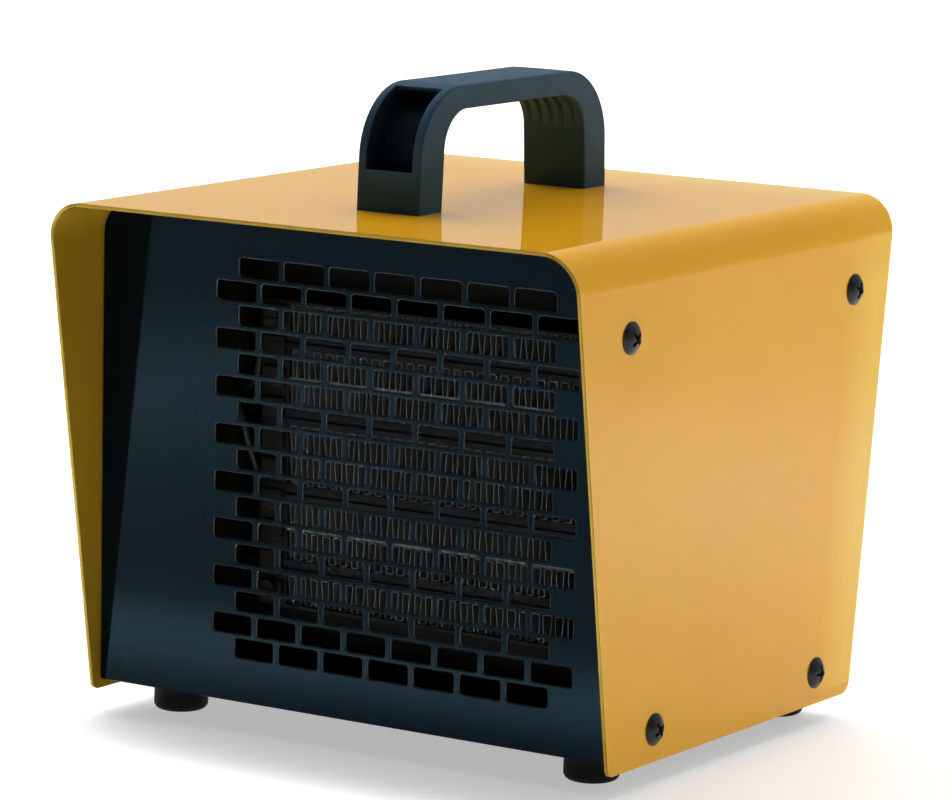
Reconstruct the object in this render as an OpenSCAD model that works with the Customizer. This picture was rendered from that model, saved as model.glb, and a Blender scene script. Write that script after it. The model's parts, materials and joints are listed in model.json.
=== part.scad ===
/* [Cover] */
// Outer width of the sheet cover
cover_w = 200; // [190:1:215]
// Thickness of the cover sheet
cover_t = 1.2; // [0.8:0.1:1.5]
// Height of the cover's top above the floor
top_z = 172; // [168:1:180]
// Height of the side panels' lower edge above the floor
skirt_z = 7.5; // [5:0.5:9]
// Outer radius of the two top bends
bend_r = 13; // [8:1:16]
// Reach of the roof in front of the middle
roof_front = 100; // [96:1:110]
// Reach of the roof behind the middle
roof_rear = 100; // [98:1:110]
// Reach of the side panels' lower edge in front of the middle
skirt_front = 75; // [74:1:80]
// Reach of the side panels' lower edge behind the middle
skirt_rear = 78; // [78:1:84]

/* [Panels] */
// Thickness of the inner steel sheets
sheet_t = 1; // [0.8:0.1:1.2]
// Distance of the front grille's face from the middle
front_face = 72; // [70:0.5:73]
// Distance of the rear panel's face from the middle
rear_face = 77.5; // [76:0.5:78]
// Height of the panels' lower edge above the floor
panel_z = 10.7; // [10:0.1:12]

/* [Air slots] */
// Width of one slot
slot_w = 15.4; // [12:0.2:16]
// Height of one slot
slot_h = 6.3; // [5:0.1:6.8]
// Spacing of the slots along a row
slot_pitch = 17.4; // [17:0.1:18]
// Spacing of the rows
row_pitch = 7.75; // [7.5:0.05:8]
// Number of rows in the front grille
front_rows = 17; // [13:2:17]
// Number of rows in the rear intake
rear_rows = 13; // [9:2:15]
// Offset of the front slots from the middle, towards the right
slot_x = 15.5; // [12:0.5:16]

/* [Handle] */
// Width of the handle
handle_w = 24; // [20:1:30]
// Height of the handle above the roof
handle_h = 40; // [36:1:45]
// Length of the handle along the roof
handle_len = 113; // [108:1:118]
// Thickness of a leg at its foot
leg_t = 14; // [13:0.5:16]
// Thickness of the grip
grip_t = 8; // [7:0.5:10]

/* [Fan and heater] */
// Radius of the fan's blades
fan_r = 55.5; // [50:0.5:56]
// Number of blades
blade_count = 7; // [5:1:9]
// Number of fins in one strip, always even
fin_count = 50; // [40:2:50]
// Spacing of the heater bars
bar_pitch = 24.7; // [24:0.1:25]
// Height of one heater bar
bar_h = 5.5; // [5:0.1:6]

/* [Hidden] */
$fn = 48;

yellow = [0.9, 0.63, 0.12];
black = [0.07, 0.08, 0.1];
dark = [0.14, 0.16, 0.19];
zinc = [0.7, 0.71, 0.73];
silver = [0.82, 0.83, 0.85];
copper = [0.72, 0.4, 0.2];
cream = [0.88, 0.86, 0.78];
red = [0.75, 0.1, 0.08];
eps = 0.01;

// Inner walls of the cover, and the gap that the panels keep from it
wall_x = cover_w / 2 - cover_t;
ceiling_z = top_z - cover_t;
fit_gap = 0.4;
panel_x = wall_x - fit_gap;
panel_top = ceiling_z - 0.5;
panel_r = bend_r - cover_t - 0.5;
front_corner_r = 3;
rear_corner_r = 5;

// Screws through the side panels, as [y, z]
screw_front_high = [-front_face + 4, 143.5];
screw_rear_high = [rear_face - 4.5, 143.5];
screw_front_low = [-48, 18];
screw_rear_low = [55, 18];
side_screws = [screw_front_high, screw_rear_high, screw_front_low, screw_rear_low];
side_head_r = 5.2;
side_head_h = 2.6;
side_shank_r = 1.95;
side_shank_len = 9;

// Feet and what holds them
foot_r = 9;
foot_x = 80;
foot_front_y = -52;
foot_rear_y = 65;
foot_places = [[-foot_x, foot_front_y], [foot_x, foot_front_y],
               [-foot_x, foot_rear_y], [foot_x, foot_rear_y]];
foot_seat_z = 4.5;
foot_bolt_r = 2;

// Sheet levels of the base
tray_z = panel_z + sheet_t;
tray_top = tray_z + sheet_t;
flange_w = 14;

// Handle
handle_y = 2.5;
leg_front_y = handle_y - handle_len / 2;
leg_rear_y = handle_y + handle_len / 2;
handle_screw_y = [leg_front_y + leg_t / 2, leg_rear_y - leg_t / 2];
handle_lean = 1.7;
handle_outer_r = 24;
handle_inner_r = 13;
pocket_w = 15;
pocket_z = top_z + 13.7;
handle_bolt_r = 2.5;
washer_t = 1.2;

// Duct side of the case, where fan and heater sit
divider_x = -58;
duct_left = divider_x + sheet_t + 0.1;
// Holes for wires and the capillary through the divider, as [y, z, radius]
divider_holes = [[-50, 108, 8], [44, 100, 4], [62, 120, 3]];
duct_right = panel_x - 1.4;
axis_x = 20.5;
axis_z = 91;

// Heater stack
heater_front = -58;
heater_back = -42;
heater_left = -46;
heater_right = 88;
end_w = 11;
fin_left = heater_left + end_w;
fin_right = heater_right - end_w;
fin_t = 0.35;
plate_t = 0.8;
fin_h = (bar_pitch - bar_h - plate_t) / 2;
rail_t = 1.2;
bar_z = [for (i = [1.5, 0.5, -0.5, -1.5]) axis_z + i * bar_pitch];
stack_top = bar_z[0] + bar_h / 2 + fin_h + rail_t;
stack_bottom = bar_z[3] - bar_h / 2 - fin_h - rail_t;
heater_screw_x = [heater_left + end_w / 2, heater_right - end_w / 2];
heater_screw_z = [stack_bottom + 5.7, stack_top - 5.7];

// Fan, shroud and motor, along the fan's axis
fan_front = -9;
fan_back = 11;
hub_r = 17;
shroud_y = 17;
shroud_r = fan_r + 2.5;
collar_len = 27;
strut_y = shroud_y + sheet_t;
strut_t = 1.5;
strut_half = 69;
strut_screw_reach = 64;
core_front = 30;
core_back = 48;
core_half_w = 30;
core_low = 22;
core_high = 42;
limb_h = 13;
bolt_reach = 25;
bracket_t = 3;
shaft_r = 2.5;
run_gap = 0.05;
rotor_r = 15.1;
rotor_gap = 0.4;

// Controls on the rear panel, all on one upright line
control_x = -78;
thermostat_z = 126;
selector_z = 88;
cutout_z = 56;
gland_z = 30;
panel_in = rear_face - sheet_t;
bush_r = 5;
bush_len = 6.5;
stem_r = 3;
nut_t = 2.5;
knob_r = 15.5;
gland_bore_r = 3.75;
gland_r = 7;

// Small screws, as [x, y] on the tray
tray_screws = [[-40, -36], [80, -36], [-40, 23], [80, 23], [-65, -20], [-65, 40]];
small_r = 1.5;
small_head_r = 2.8;
small_head_h = 2;

// Points of a fillet of radius r at corner b between a and c
function unit(v) = v / norm(v);
function fillet(a, b, c, r, n = 8) =
    let (u = unit(a - b), v = unit(c - b))
    let (half = acos(u * v) / 2, m = b + unit(u + v) * r / sin(half))
    let (p = b + u * r / tan(half) - m, q = b + v * r / tan(half) - m)
    [for (i = [0:n]) let (w = i / n, s = p * (1 - w) + q * w) m + unit(s) * r];

// A block along Y with its two upper edges rounded
module arch_block(half_w, top, r, y0, y1, bottom) {
    translate([-half_w, y0, bottom]) cube([2 * half_w, y1 - y0, top - r - bottom]);
    translate([-half_w + r, y0, top - r - 1]) cube([2 * (half_w - r), y1 - y0, r + 1]);
    for (s = [-1, 1])
        translate([s * (half_w - r), y0, top - r]) rotate([-90, 0, 0]) cylinder(r = r, h = y1 - y0);
}

// A round bar along Y from y0 to y1
module bar_y(x, z, r, y0, y1, sides = 48) {
    translate([x, y0, z]) rotate([-90, 0, 0]) cylinder(r = r, h = y1 - y0, $fn = sides);
}

// A round bar along X from x0 to x1
module bar_x(y, z, r, x0, x1) {
    translate([x0, y, z]) rotate([0, 90, 0]) cylinder(r = r, h = x1 - x0);
}

// A box given by its two corners
module box(a, b) {
    translate(a) cube(b - a);
}

// Staggered slots through a panel: odd rows have n slots, even rows have n + step
module slot_field(x, z, rows, n, step, y0, y1) {
    for (row = [0:rows - 1]) {
        count = n + (row % 2) * step;
        row_z = z + ((rows - 1) / 2 - row) * row_pitch;
        for (i = [0:count - 1])
            translate([x + (i - (count - 1) / 2) * slot_pitch - slot_w / 2, y0, row_z - slot_h / 2])
                cube([slot_w, y1 - y0, slot_h]);
    }
}

// Outline of a side panel, as [y, z], running past the roof
module side_outline() {
    rise = top_z - skirt_z;
    over = 5;
    front_step = (roof_front - skirt_front) * over / rise;
    rear_step = (roof_rear - skirt_rear) * over / rise;
    front_top = [-roof_front - front_step, top_z + over];
    rear_top = [roof_rear + rear_step, top_z + over];
    front_low = [-skirt_front, skirt_z];
    rear_low = [skirt_rear, skirt_z];
    polygon(concat([rear_top, front_top],
        fillet(front_top, front_low, rear_low, front_corner_r),
        fillet(front_low, rear_low, rear_top, rear_corner_r)));
}

// Extrudes a [y, z] outline along X
module along_x(x0, x1) {
    translate([x0, 0, 0]) rotate([90, 0, 90]) linear_extrude(height = x1 - x0) children();
}

module cover() {
    reach = max(roof_front, roof_rear) + 10;
    color(yellow) difference() {
        intersection() {
            difference() {
                arch_block(cover_w / 2, top_z, bend_r, -reach, reach, 0);
                arch_block(wall_x, ceiling_z, bend_r - cover_t, -reach - 1, reach + 1, -1);
            }
            along_x(-cover_w, cover_w) side_outline();
        }
        for (p = side_screws)
            bar_x(p[0], p[1], side_shank_r + 0.2, -cover_w, cover_w);
        for (y = handle_screw_y)
            translate([0, y, ceiling_z - 1]) cylinder(r = handle_bolt_r + 0.2, h = cover_t + 2);
    }
}

// A flat panel with two rounded upper corners; s is 1 at the front, -1 behind
module flat_panel(face, s) {
    inner = face + s * sheet_t;
    arch_block(panel_x, panel_top, panel_r, min(face, inner), max(face, inner), panel_z);
}

// The side flanges and the lower flange turned inwards behind a flat panel
module turned_flanges(face, s, lower_reach) {
    inner = face + s * sheet_t;
    deep = face + s * (sheet_t + flange_w);
    low = face + s * (sheet_t + lower_reach);
    for (side = [-1, 1])
        box([min(side * panel_x, side * (panel_x - sheet_t)), min(inner, deep), 30],
            [max(side * panel_x, side * (panel_x - sheet_t)), max(inner, deep), 152]);
    box([-panel_x, min(inner, low), panel_z], [panel_x, max(inner, low), panel_z + sheet_t]);
}

module front_grille() {
    color(black) difference() {
        flat_panel(-front_face, 1);
        slot_field(slot_x, axis_z - 0.5, front_rows, 7, 1, -front_face - 1, -front_face + 3);
    }
}

module front_flanges() {
    color(black) difference() {
        turned_flanges(-front_face, 1, 27);
        bar_x(screw_front_high[0], screw_front_high[1], 2, -cover_w, cover_w);
        for (s = [-1, 1])
            translate([s * foot_x, foot_front_y, panel_z - 1]) cylinder(r = 2.1, h = 3);
    }
}

module rear_panel() {
    color(black) difference() {
        flat_panel(rear_face, -1);
        slot_field(axis_x, axis_z, rear_rows, 7, -1, rear_face - 3, rear_face + 1);
        for (z = [thermostat_z, selector_z, cutout_z])
            bar_y(control_x, z, bush_r + 0.1, rear_face - 3, rear_face + 1);
        bar_y(control_x, gland_z, gland_r + 0.1, rear_face - 3, rear_face + 1);
    }
}

module rear_flanges() {
    color(black) difference() {
        turned_flanges(rear_face, -1, 20);
        bar_x(screw_rear_high[0], screw_rear_high[1], 2, -cover_w, cover_w);
        for (s = [-1, 1])
            translate([s * foot_x, foot_rear_y, panel_z - 1]) cylinder(r = 2.1, h = 3);
    }
}

module base_tray() {
    color(black) difference() {
        union() {
            box([-panel_x, -front_face + 1.5, tray_z], [panel_x, rear_face - 1.5, tray_top]);
            for (s = [-1, 1])
                box([min(s * panel_x, s * (panel_x - sheet_t)), -front_face + 4, tray_z],
                    [max(s * panel_x, s * (panel_x - sheet_t)), rear_face - 4, 28]);
        }
        for (p = [screw_front_low, screw_rear_low])
            bar_x(p[0], p[1], 2, -cover_w, cover_w);
        for (p = foot_places)
            translate([p[0], p[1], tray_z - 1]) cylinder(r = 2.1, h = 3);
        for (p = tray_screws)
            translate([p[0], p[1], tray_z - 1]) cylinder(r = small_r + 0.1, h = 3);
    }
}

// Arch of the handle as a [y, z] outline, grown outwards to the given thickness
function handle_side(front, rear, top, r, n) =
    let (a = [front, top_z], b = [front + handle_lean, top], c = [rear - handle_lean, top], d = [rear, top_z])
    concat([a], fillet(a, b, c, r, n), fillet(b, c, d, r, n), [d]);

module handle_outline() {
    outer = handle_side(leg_front_y, leg_rear_y, top_z + handle_h, handle_outer_r, 14);
    inner = handle_side(leg_front_y + leg_t, leg_rear_y - leg_t, top_z + handle_h - grip_t,
        handle_inner_r, 10);
    polygon(concat(outer, [for (i = [len(inner) - 1:-1:0]) inner[i]]));
}

// The recess in the outer face of each leg, as a [y, z] outline
module pocket_outline() {
    wall = 3.2;
    outer = handle_side(leg_front_y - 5, leg_rear_y + 5, top_z + handle_h - 2.2, handle_outer_r, 14);
    inner = handle_side(leg_front_y + leg_t - wall, leg_rear_y - leg_t + wall,
        top_z + handle_h - grip_t + wall, handle_inner_r + wall, 10);
    polygon(concat(outer, [for (i = [len(inner) - 1:-1:0]) inner[i]]));
}

module handle() {
    reach = 20;
    color(dark) difference() {
        along_x(-handle_w / 2, handle_w / 2) handle_outline();
        intersection() {
            along_x(-pocket_w / 2, pocket_w / 2) pocket_outline();
            union() {
                box([-cover_w, leg_front_y - 6, pocket_z], [cover_w, leg_front_y + reach, top_z + 50]);
                box([-cover_w, leg_rear_y - reach, pocket_z], [cover_w, leg_rear_y + 6, top_z + 50]);
            }
        }
        for (y = handle_screw_y)
            translate([0, y, top_z - 1]) cylinder(r = handle_bolt_r, h = 12.5);
    }
}

module handle_screws() {
    color(zinc) for (y = handle_screw_y) {
        translate([0, y, ceiling_z - washer_t]) cylinder(r = handle_bolt_r - 0.05, h = 12);
        translate([0, y, ceiling_z - washer_t - 3.2]) difference() {
            cylinder(r = 4.6, h = 3.2);
            for (a = [0, 90])
                rotate(a) translate([-3, -0.5, -1]) cube([6, 1, 2.4]);
        }
    }
}

module handle_washers() {
    color(zinc) for (y = handle_screw_y)
        translate([0, y, ceiling_z - washer_t]) difference() {
            cylinder(r = 8, h = washer_t);
            translate([0, 0, -1]) cylinder(r = handle_bolt_r + 0.1, h = 4);
        }
}

// One domed side screw with a cross recess, its head outwards along +X
module side_screw() {
    dome_r = (side_head_r * side_head_r + side_head_h * side_head_h) / (2 * side_head_h);
    sweep = asin(side_head_r / dome_r);
    dome = [for (i = [0:8]) let (a = sweep * (1 - i / 8))
        [dome_r * sin(a), side_head_h - dome_r + dome_r * cos(a)]];
    rotate([0, 90, 0]) difference() {
        rotate_extrude($fn = 64) polygon(concat(
            [[0, -side_shank_len], [side_shank_r, -side_shank_len], [side_shank_r, 0],
             [side_head_r, 0]], [for (i = [1:8]) dome[i]]));
        for (a = [45, 135])
            rotate([0, 0, a]) translate([-2.6, -0.55, side_head_h - 1.3]) cube([5.2, 1.1, 2]);
    }
}

module cover_screws(side) {
    color(black) for (p = side_screws)
        translate([side * cover_w / 2, p[0], p[1]])
            rotate([0, 0, side > 0 ? 0 : 180]) side_screw();
}

module foot(p) {
    edge = 1.6;
    arc = [for (a = [-90:15:0]) [foot_r - edge + edge * cos(a), edge + edge * sin(a)]];
    color(black) translate([p[0], p[1], 0]) rotate_extrude($fn = 64)
        polygon(concat([[4.8, 0]], arc,
            [[foot_r - 0.6, panel_z], [2.2, panel_z], [2.2, foot_seat_z], [4.8, foot_seat_z]]));
}

module foot_screws() {
    color(zinc) for (p = foot_places) translate([p[0], p[1], 0]) {
        translate([0, 0, foot_seat_z - 0.2]) cylinder(r = foot_bolt_r, h = 13);
        difference() {
            translate([0, 0, foot_seat_z - 2.6]) cylinder(r = 4.2, h = 2.6);
            translate([-5, -0.5, foot_seat_z - 3]) cube([10, 1, 1.4]);
        }
    }
}

module foot_nuts() {
    color(zinc) for (p = foot_places) translate([p[0], p[1], tray_top]) difference() {
        cylinder(r = 4, h = 3.2, $fn = 6);
        translate([0, 0, -1]) cylinder(r = foot_bolt_r + 0.05, h = 6);
    }
}

module divider() {
    color(zinc) difference() {
        union() {
            box([divider_x, -front_face + 3, tray_top], [divider_x + sheet_t, rear_face - 3, panel_top - 1]);
            box([divider_x - 12, -50, tray_top], [divider_x + eps, 60, tray_top + sheet_t]);
        }
        for (h = divider_holes)
            bar_x(h[0], h[1], h[2], divider_x - 2, divider_x + 3);
        for (p = [tray_screws[4], tray_screws[5]])
            translate([p[0], p[1], tray_top - 1]) cylinder(r = small_r + 0.05, h = 4);
    }
}

// A cross wall of the duct with a lower flange turned towards +Y
module duct_wall(y) {
    box([duct_left, y, tray_top], [duct_right, y + sheet_t, panel_top - panel_r]);
    box([duct_left, y, panel_top - panel_r - 1], [duct_right - 12, y + sheet_t, panel_top - 1]);
    box([-50, y + sheet_t - eps, tray_top], [90, y + sheet_t + 10, tray_top + sheet_t]);
}

module heater_baffle() {
    color(zinc) difference() {
        duct_wall(heater_back);
        box([fin_left, heater_back - 1, stack_bottom + rail_t],
            [fin_right, heater_back + 3, stack_top - rail_t]);
        for (x = heater_screw_x)
            for (z = heater_screw_z)
                bar_y(x, z, small_r + 0.05, heater_back - 1, heater_back + 3);
        for (p = [tray_screws[0], tray_screws[1]])
            translate([p[0], p[1], tray_top - 1]) cylinder(r = small_r + 0.05, h = 4);
    }
}

module fan_shroud() {
    color(zinc) difference() {
        union() {
            duct_wall(shroud_y);
            bar_y(axis_x, axis_z, shroud_r + 1.2, shroud_y - collar_len, shroud_y + 0.5, 96);
        }
        bar_y(axis_x, axis_z, shroud_r, shroud_y - collar_len - 1, shroud_y + 3, 96);
        for (s = [-1, 1])
            bar_y(axis_x, axis_z + s * strut_screw_reach, small_r + 0.05, shroud_y - 1, shroud_y + 3);
        for (p = [tray_screws[2], tray_screws[3]])
            translate([p[0], p[1], tray_top - 1]) cylinder(r = small_r + 0.05, h = 4);
    }
}

// One small pan screw, its head at the origin and its shank along +Z
module small_screw(len) {
    difference() {
        translate([0, 0, -small_head_h]) cylinder(r = small_head_r, h = small_head_h);
        translate([-4, -0.4, -small_head_h - 1]) cube([8, 0.8, 1.8]);
    }
    translate([0, 0, -0.5]) cylinder(r = small_r, h = len + 0.5);
}

module inner_screws() {
    color(zinc) {
        for (p = tray_screws)
            translate([p[0], p[1], tray_z]) small_screw(6);
        for (s = [-1, 1])
            translate([axis_x, strut_y + strut_t, axis_z + s * strut_screw_reach])
                rotate([90, 0, 0]) small_screw(6);
    }
}

module heater_end(x0, tab) {
    color(cream) difference() {
        box([x0, heater_front, stack_bottom], [x0 + end_w, heater_back, stack_top]);
        for (z = bar_z) {
            box([x0 + (tab ? 1.4 : -1), heater_front + 0.9, z - bar_h / 2 - 0.05],
                [x0 + end_w + (tab ? 1 : -1.4), heater_back - 0.9, z + bar_h / 2 + 0.05]);
            if (tab)
                box([x0 - 1, -53.4, z - 0.6], [x0 + 3, -46.6, z + 0.6]);
        }
        for (z = heater_screw_z)
            bar_y(x0 + end_w / 2, z, small_r + 0.1, heater_front - 1, heater_back + 1);
    }
}

module heater_rail(z) {
    color(silver) box([fin_left, heater_front, z], [fin_right, heater_back, z + rail_t]);
}

module ptc_bar(i) {
    wall = 0.9;
    x0 = heater_left + 1.5;
    x1 = heater_right - 1.5;
    color(silver) difference() {
        box([x0, heater_front + 1, bar_z[i] - bar_h / 2], [x1, heater_back - 1, bar_z[i] + bar_h / 2]);
        for (y = [heater_front + 0.5, heater_back - 2])
            box([fin_left, y, bar_z[i] - bar_h / 2 + wall], [fin_right, y + 1.5, bar_z[i] + bar_h / 2 - wall]);
    }
}

// One corrugated strip as an [x, z] outline: fins p apart, h high, t thick, count is even
function fin_outline(count, p, h, t) =
    let (last = count / 2 - 1)
    let (upper = [for (k = [0:last]) each [[2 * k * p, h], [(2 * k + 1) * p + t, h],
        [(2 * k + 1) * p + t, k < last ? t : 0], if (k < last) [2 * (k + 1) * p, t]]])
    let (lower = [for (k = [last:-1:0]) each [[(2 * k + 1) * p, 0], [(2 * k + 1) * p, h - t],
        [2 * k * p + t, h - t], [2 * k * p + t, 0]]])
    concat([[0, 0]], upper, lower);

module fin_strip(z) {
    pitch = (fin_right - fin_left - fin_t) / (fin_count - 1);
    translate([fin_left, heater_back - 0.5, z]) rotate([90, 0, 0])
        linear_extrude(height = heater_back - heater_front - 1)
            polygon(fin_outline(fin_count, pitch, fin_h, fin_t));
}

// Fins between two bars: a strip above and below a thin plate
module fin_pair(i) {
    middle = (bar_z[i] + bar_z[i + 1]) / 2;
    color(silver) {
        fin_strip(middle + plate_t / 2);
        fin_strip(middle - plate_t / 2 - fin_h);
        box([fin_left, heater_front + 0.5, middle - plate_t / 2], [fin_right, heater_back - 0.5, middle + plate_t / 2]);
    }
}

module fin_end_strip(z) {
    color(silver) fin_strip(z);
}

module heater_terminals() {
    color(copper) for (z = bar_z)
        box([heater_left - 9, -53.15, z - 0.4], [heater_left + 1.5, -46.85, z + 0.4]);
}

module heater_screws() {
    color(zinc) for (x = heater_screw_x)
        for (z = heater_screw_z)
            translate([x, heater_front, z]) rotate([-90, 0, 0]) small_screw(20);
}

module motor_strut() {
    plate_half = 32;
    color(zinc) difference() {
        union() {
            box([axis_x - 8, strut_y, axis_z - strut_half], [axis_x + 8, strut_y + strut_t, axis_z + strut_half]);
            box([axis_x - plate_half, strut_y, axis_z - 9], [axis_x + plate_half, strut_y + strut_t, axis_z + 9]);
        }
        bar_y(axis_x, axis_z, 7.5, strut_y - 1, strut_y + 4);
        for (s = [-1, 1]) {
            bar_y(axis_x, axis_z + s * strut_screw_reach, small_r + 0.05, strut_y - 1, strut_y + 4);
            bar_y(axis_x + s * bolt_reach, axis_z, small_r + 0.1, strut_y - 1, strut_y + 4);
        }
    }
}

module motor_core() {
    window_half = 18;
    color([0.35, 0.36, 0.38]) difference() {
        box([axis_x - core_half_w, core_front, axis_z - core_low], [axis_x + core_half_w, core_back, axis_z + core_high]);
        bar_y(axis_x, axis_z, rotor_r + rotor_gap, core_front - 1, core_back + 1);
        box([axis_x - window_half, core_front - 1, axis_z + core_high - limb_h - 8],
            [axis_x + window_half, core_back + 1, axis_z + core_high - limb_h]);
        for (s = [-1, 1])
            bar_y(axis_x + s * bolt_reach, axis_z, small_r + 0.1, core_front - 1, core_back + 1);
    }
}

module motor_coil() {
    coil_half = 17;
    wind = 7;
    low = axis_z + core_high - limb_h;
    color(copper) difference() {
        box([axis_x - coil_half, core_front - wind, low - wind], [axis_x + coil_half, core_back + wind, axis_z + core_high + wind]);
        box([axis_x - core_half_w, core_front - 0.1, low - 0.1], [axis_x + core_half_w, core_back + 0.1, axis_z + core_high + 0.1]);
    }
}

module motor_bracket_front() {
    post_r = 4.5;
    color(zinc) difference() {
        union() {
            box([axis_x - core_half_w + 1, core_front - bracket_t, axis_z - 7], [axis_x + core_half_w - 1, core_front, axis_z + 7]);
            bar_y(axis_x, axis_z, 6.5, strut_y + 3, core_front);
            for (s = [-1, 1])
                bar_y(axis_x + s * bolt_reach, axis_z, post_r, strut_y + strut_t, core_front);
        }
        bar_y(axis_x, axis_z, shaft_r + run_gap, strut_y, core_front + 1);
        for (s = [-1, 1])
            bar_y(axis_x + s * bolt_reach, axis_z, small_r + 0.1, strut_y, core_front + 1);
    }
}

module motor_bracket_rear() {
    color(zinc) difference() {
        union() {
            box([axis_x - core_half_w + 1, core_back, axis_z - 7], [axis_x + core_half_w - 1, core_back + bracket_t, axis_z + 7]);
            bar_y(axis_x, axis_z, 6.5, core_back, core_back + 9);
        }
        bar_y(axis_x, axis_z, shaft_r + run_gap, core_back - 1, core_back + 10);
        for (s = [-1, 1])
            bar_y(axis_x + s * bolt_reach, axis_z, small_r + 0.1, core_back - 1, core_back + 4);
    }
}

module motor_bolts() {
    color(zinc) for (s = [-1, 1])
        translate([axis_x + s * bolt_reach, core_back + bracket_t, axis_z])
            rotate([90, 0, 0]) small_screw(core_back + bracket_t - strut_y + 1);
}

module motor_rotor() {
    color(silver) difference() {
        bar_y(axis_x, axis_z, rotor_r, core_front + 1, core_back - 1);
        bar_y(axis_x, axis_z, shaft_r, core_front - 1, core_back + 1);
    }
}

module motor_shaft() {
    color(silver) bar_y(axis_x, axis_z, shaft_r, fan_front - 6, core_back + 7.5);
}

module fan_blade() {
    chord = 31;
    pitch = 33;
    middle = (fan_front + fan_back) / 2;
    color(dark) difference() {
        union() {
            bar_y(axis_x, axis_z, hub_r, fan_front, fan_back);
            intersection() {
                bar_y(axis_x, axis_z, fan_r, fan_front, fan_back, 96);
                translate([axis_x, middle, axis_z]) for (i = [0:blade_count - 1])
                    rotate([0, i * 360 / blade_count, 0]) rotate([0, 0, 90 - pitch])
                        translate([-0.7, -chord / 2, 0]) cube([1.4, chord, fan_r + 2]);
            }
        }
        difference() {
            bar_y(axis_x, axis_z, hub_r - 2, fan_front + 2.5, fan_back + 1);
            bar_y(axis_x, axis_z, 5.5, fan_front + 2, fan_back + 2);
        }
        bar_y(axis_x, axis_z, shaft_r, fan_front - 1, fan_back + 1);
    }
}

module fan_clip() {
    color(zinc) difference() {
        bar_y(axis_x, axis_z, 5, fan_front - 3, fan_front, 6);
        bar_y(axis_x, axis_z, shaft_r, fan_front - 4, fan_front + 1);
    }
}

// Body of a rear control with its bush; half sizes w and h, depth d behind the panel
module control_body(z, w, h, d) {
    difference() {
        union() {
            box([control_x - w, panel_in - d, z - h], [control_x + w, panel_in, z + h]);
            bar_y(control_x, z, bush_r, panel_in - 1, panel_in + bush_len);
        }
        bar_y(control_x, z, stem_r + run_gap, panel_in - 15, panel_in + bush_len + 1);
    }
}

module control_shaft(z) {
    color(silver) bar_y(control_x, z, stem_r, panel_in - 13, rear_face + 16.5);
}

// A turning knob with a flange, a fluted grip and a pointer
module control_knob(z) {
    base = rear_face + 3.5;
    grip = base + 3;
    tip = rear_face + 18.5;
    grip_r = 11.5;
    flute_r = 1.6;
    color(dark) difference() {
        union() {
            bar_y(control_x, z, knob_r, base, grip);
            difference() {
                bar_y(control_x, z, grip_r, grip - 0.5, tip);
                for (a = [30:30:330])
                    rotate_about(z, a) bar_y(control_x, z + grip_r + 0.5, flute_r, grip, tip + 1);
            }
            box([control_x - 1, grip - 0.5, z + 6], [control_x + 1, tip + 0.6, z + knob_r - 1]);
        }
        bar_y(control_x, z, 6.2, base - 1, grip);
        bar_y(control_x, z, stem_r, base, rear_face + 16.5);
    }
}

// Turns its children about the control axis at height z
module rotate_about(z, a) {
    translate([control_x, 0, z]) rotate([0, a, 0]) translate([-control_x, 0, -z]) children();
}

module thermostat_body() {
    color(cream) control_body(thermostat_z, 15, 14, 21);
}

// Sensing bulb on the divider, with its capillary from the thermostat
module thermostat_bulb() {
    tube_r = 0.8;
    bulb_x = divider_x + 7;
    bend_z = 120;
    color(copper) {
        bar_x(62, bend_z, tube_r, control_x + 15, bulb_x);
        translate([bulb_x, 62, bend_z]) sphere(r = tube_r);
        translate([bulb_x, 62, 100]) cylinder(r = tube_r, h = bend_z - 100);
        translate([bulb_x, 62, 58]) cylinder(r = 3.2, h = 43);
    }
}

module selector_body() {
    color(cream) control_body(selector_z, 14, 14, 28);
}

module cutout_body() {
    color(dark) control_body(cutout_z, 8.5, 8.5, 18);
}

module reset_button() {
    cap_h = 4;
    color(red) {
        bar_y(control_x, cutout_z, stem_r, panel_in - 9, panel_in + bush_len + cap_h - 0.8);
        translate([control_x, panel_in + bush_len + cap_h - 0.8, cutout_z]) rotate([-90, 0, 0])
            cylinder(r1 = stem_r, r2 = stem_r - 0.8, h = 0.8);
    }
}

module control_nuts() {
    color(zinc) for (z = [thermostat_z, selector_z, cutout_z]) difference() {
        bar_y(control_x, z, 7.6, rear_face, rear_face + nut_t, 6);
        bar_y(control_x, z, bush_r + 0.05, rear_face - 1, rear_face + nut_t + 1);
    }
}

module terminal_block() {
    x0 = divider_x - 14;
    poles = 3;
    pole_w = 12;
    color(cream) difference() {
        box([x0, -10, 40], [divider_x - 0.1, -10 + poles * pole_w, 60]);
        for (i = [0:poles - 1]) {
            translate([x0 + 7, -4 + i * pole_w, 46]) cylinder(r = 3, h = 20);
            bar_x(-4 + i * pole_w, 43, 1.8, x0 - 1, x0 + 9);
        }
    }
}

// Cable inlet: a flanged body with a domed nose and an open bore
module cable_gland() {
    tip = rear_face + 16;
    color(black) difference() {
        union() {
            bar_y(control_x, gland_z, gland_r, rear_face - 13, rear_face + 1);
            bar_y(control_x, gland_z, 10.5, rear_face, rear_face + 5, 6);
            bar_y(control_x, gland_z, 8.6, rear_face + 4, tip - 4);
            translate([control_x, tip - 4, gland_z]) rotate([-90, 0, 0]) cylinder(r1 = 8.6, r2 = 5.6, h = 4);
        }
        bar_y(control_x, gland_z, gland_bore_r, rear_face - 14, tip + 1);
    }
}

module gland_nut() {
    color(black) difference() {
        bar_y(control_x, gland_z, 10, panel_in - 3.5, panel_in, 6);
        bar_y(control_x, gland_z, gland_r + 0.05, panel_in - 5, panel_in + 1);
    }
}

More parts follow.
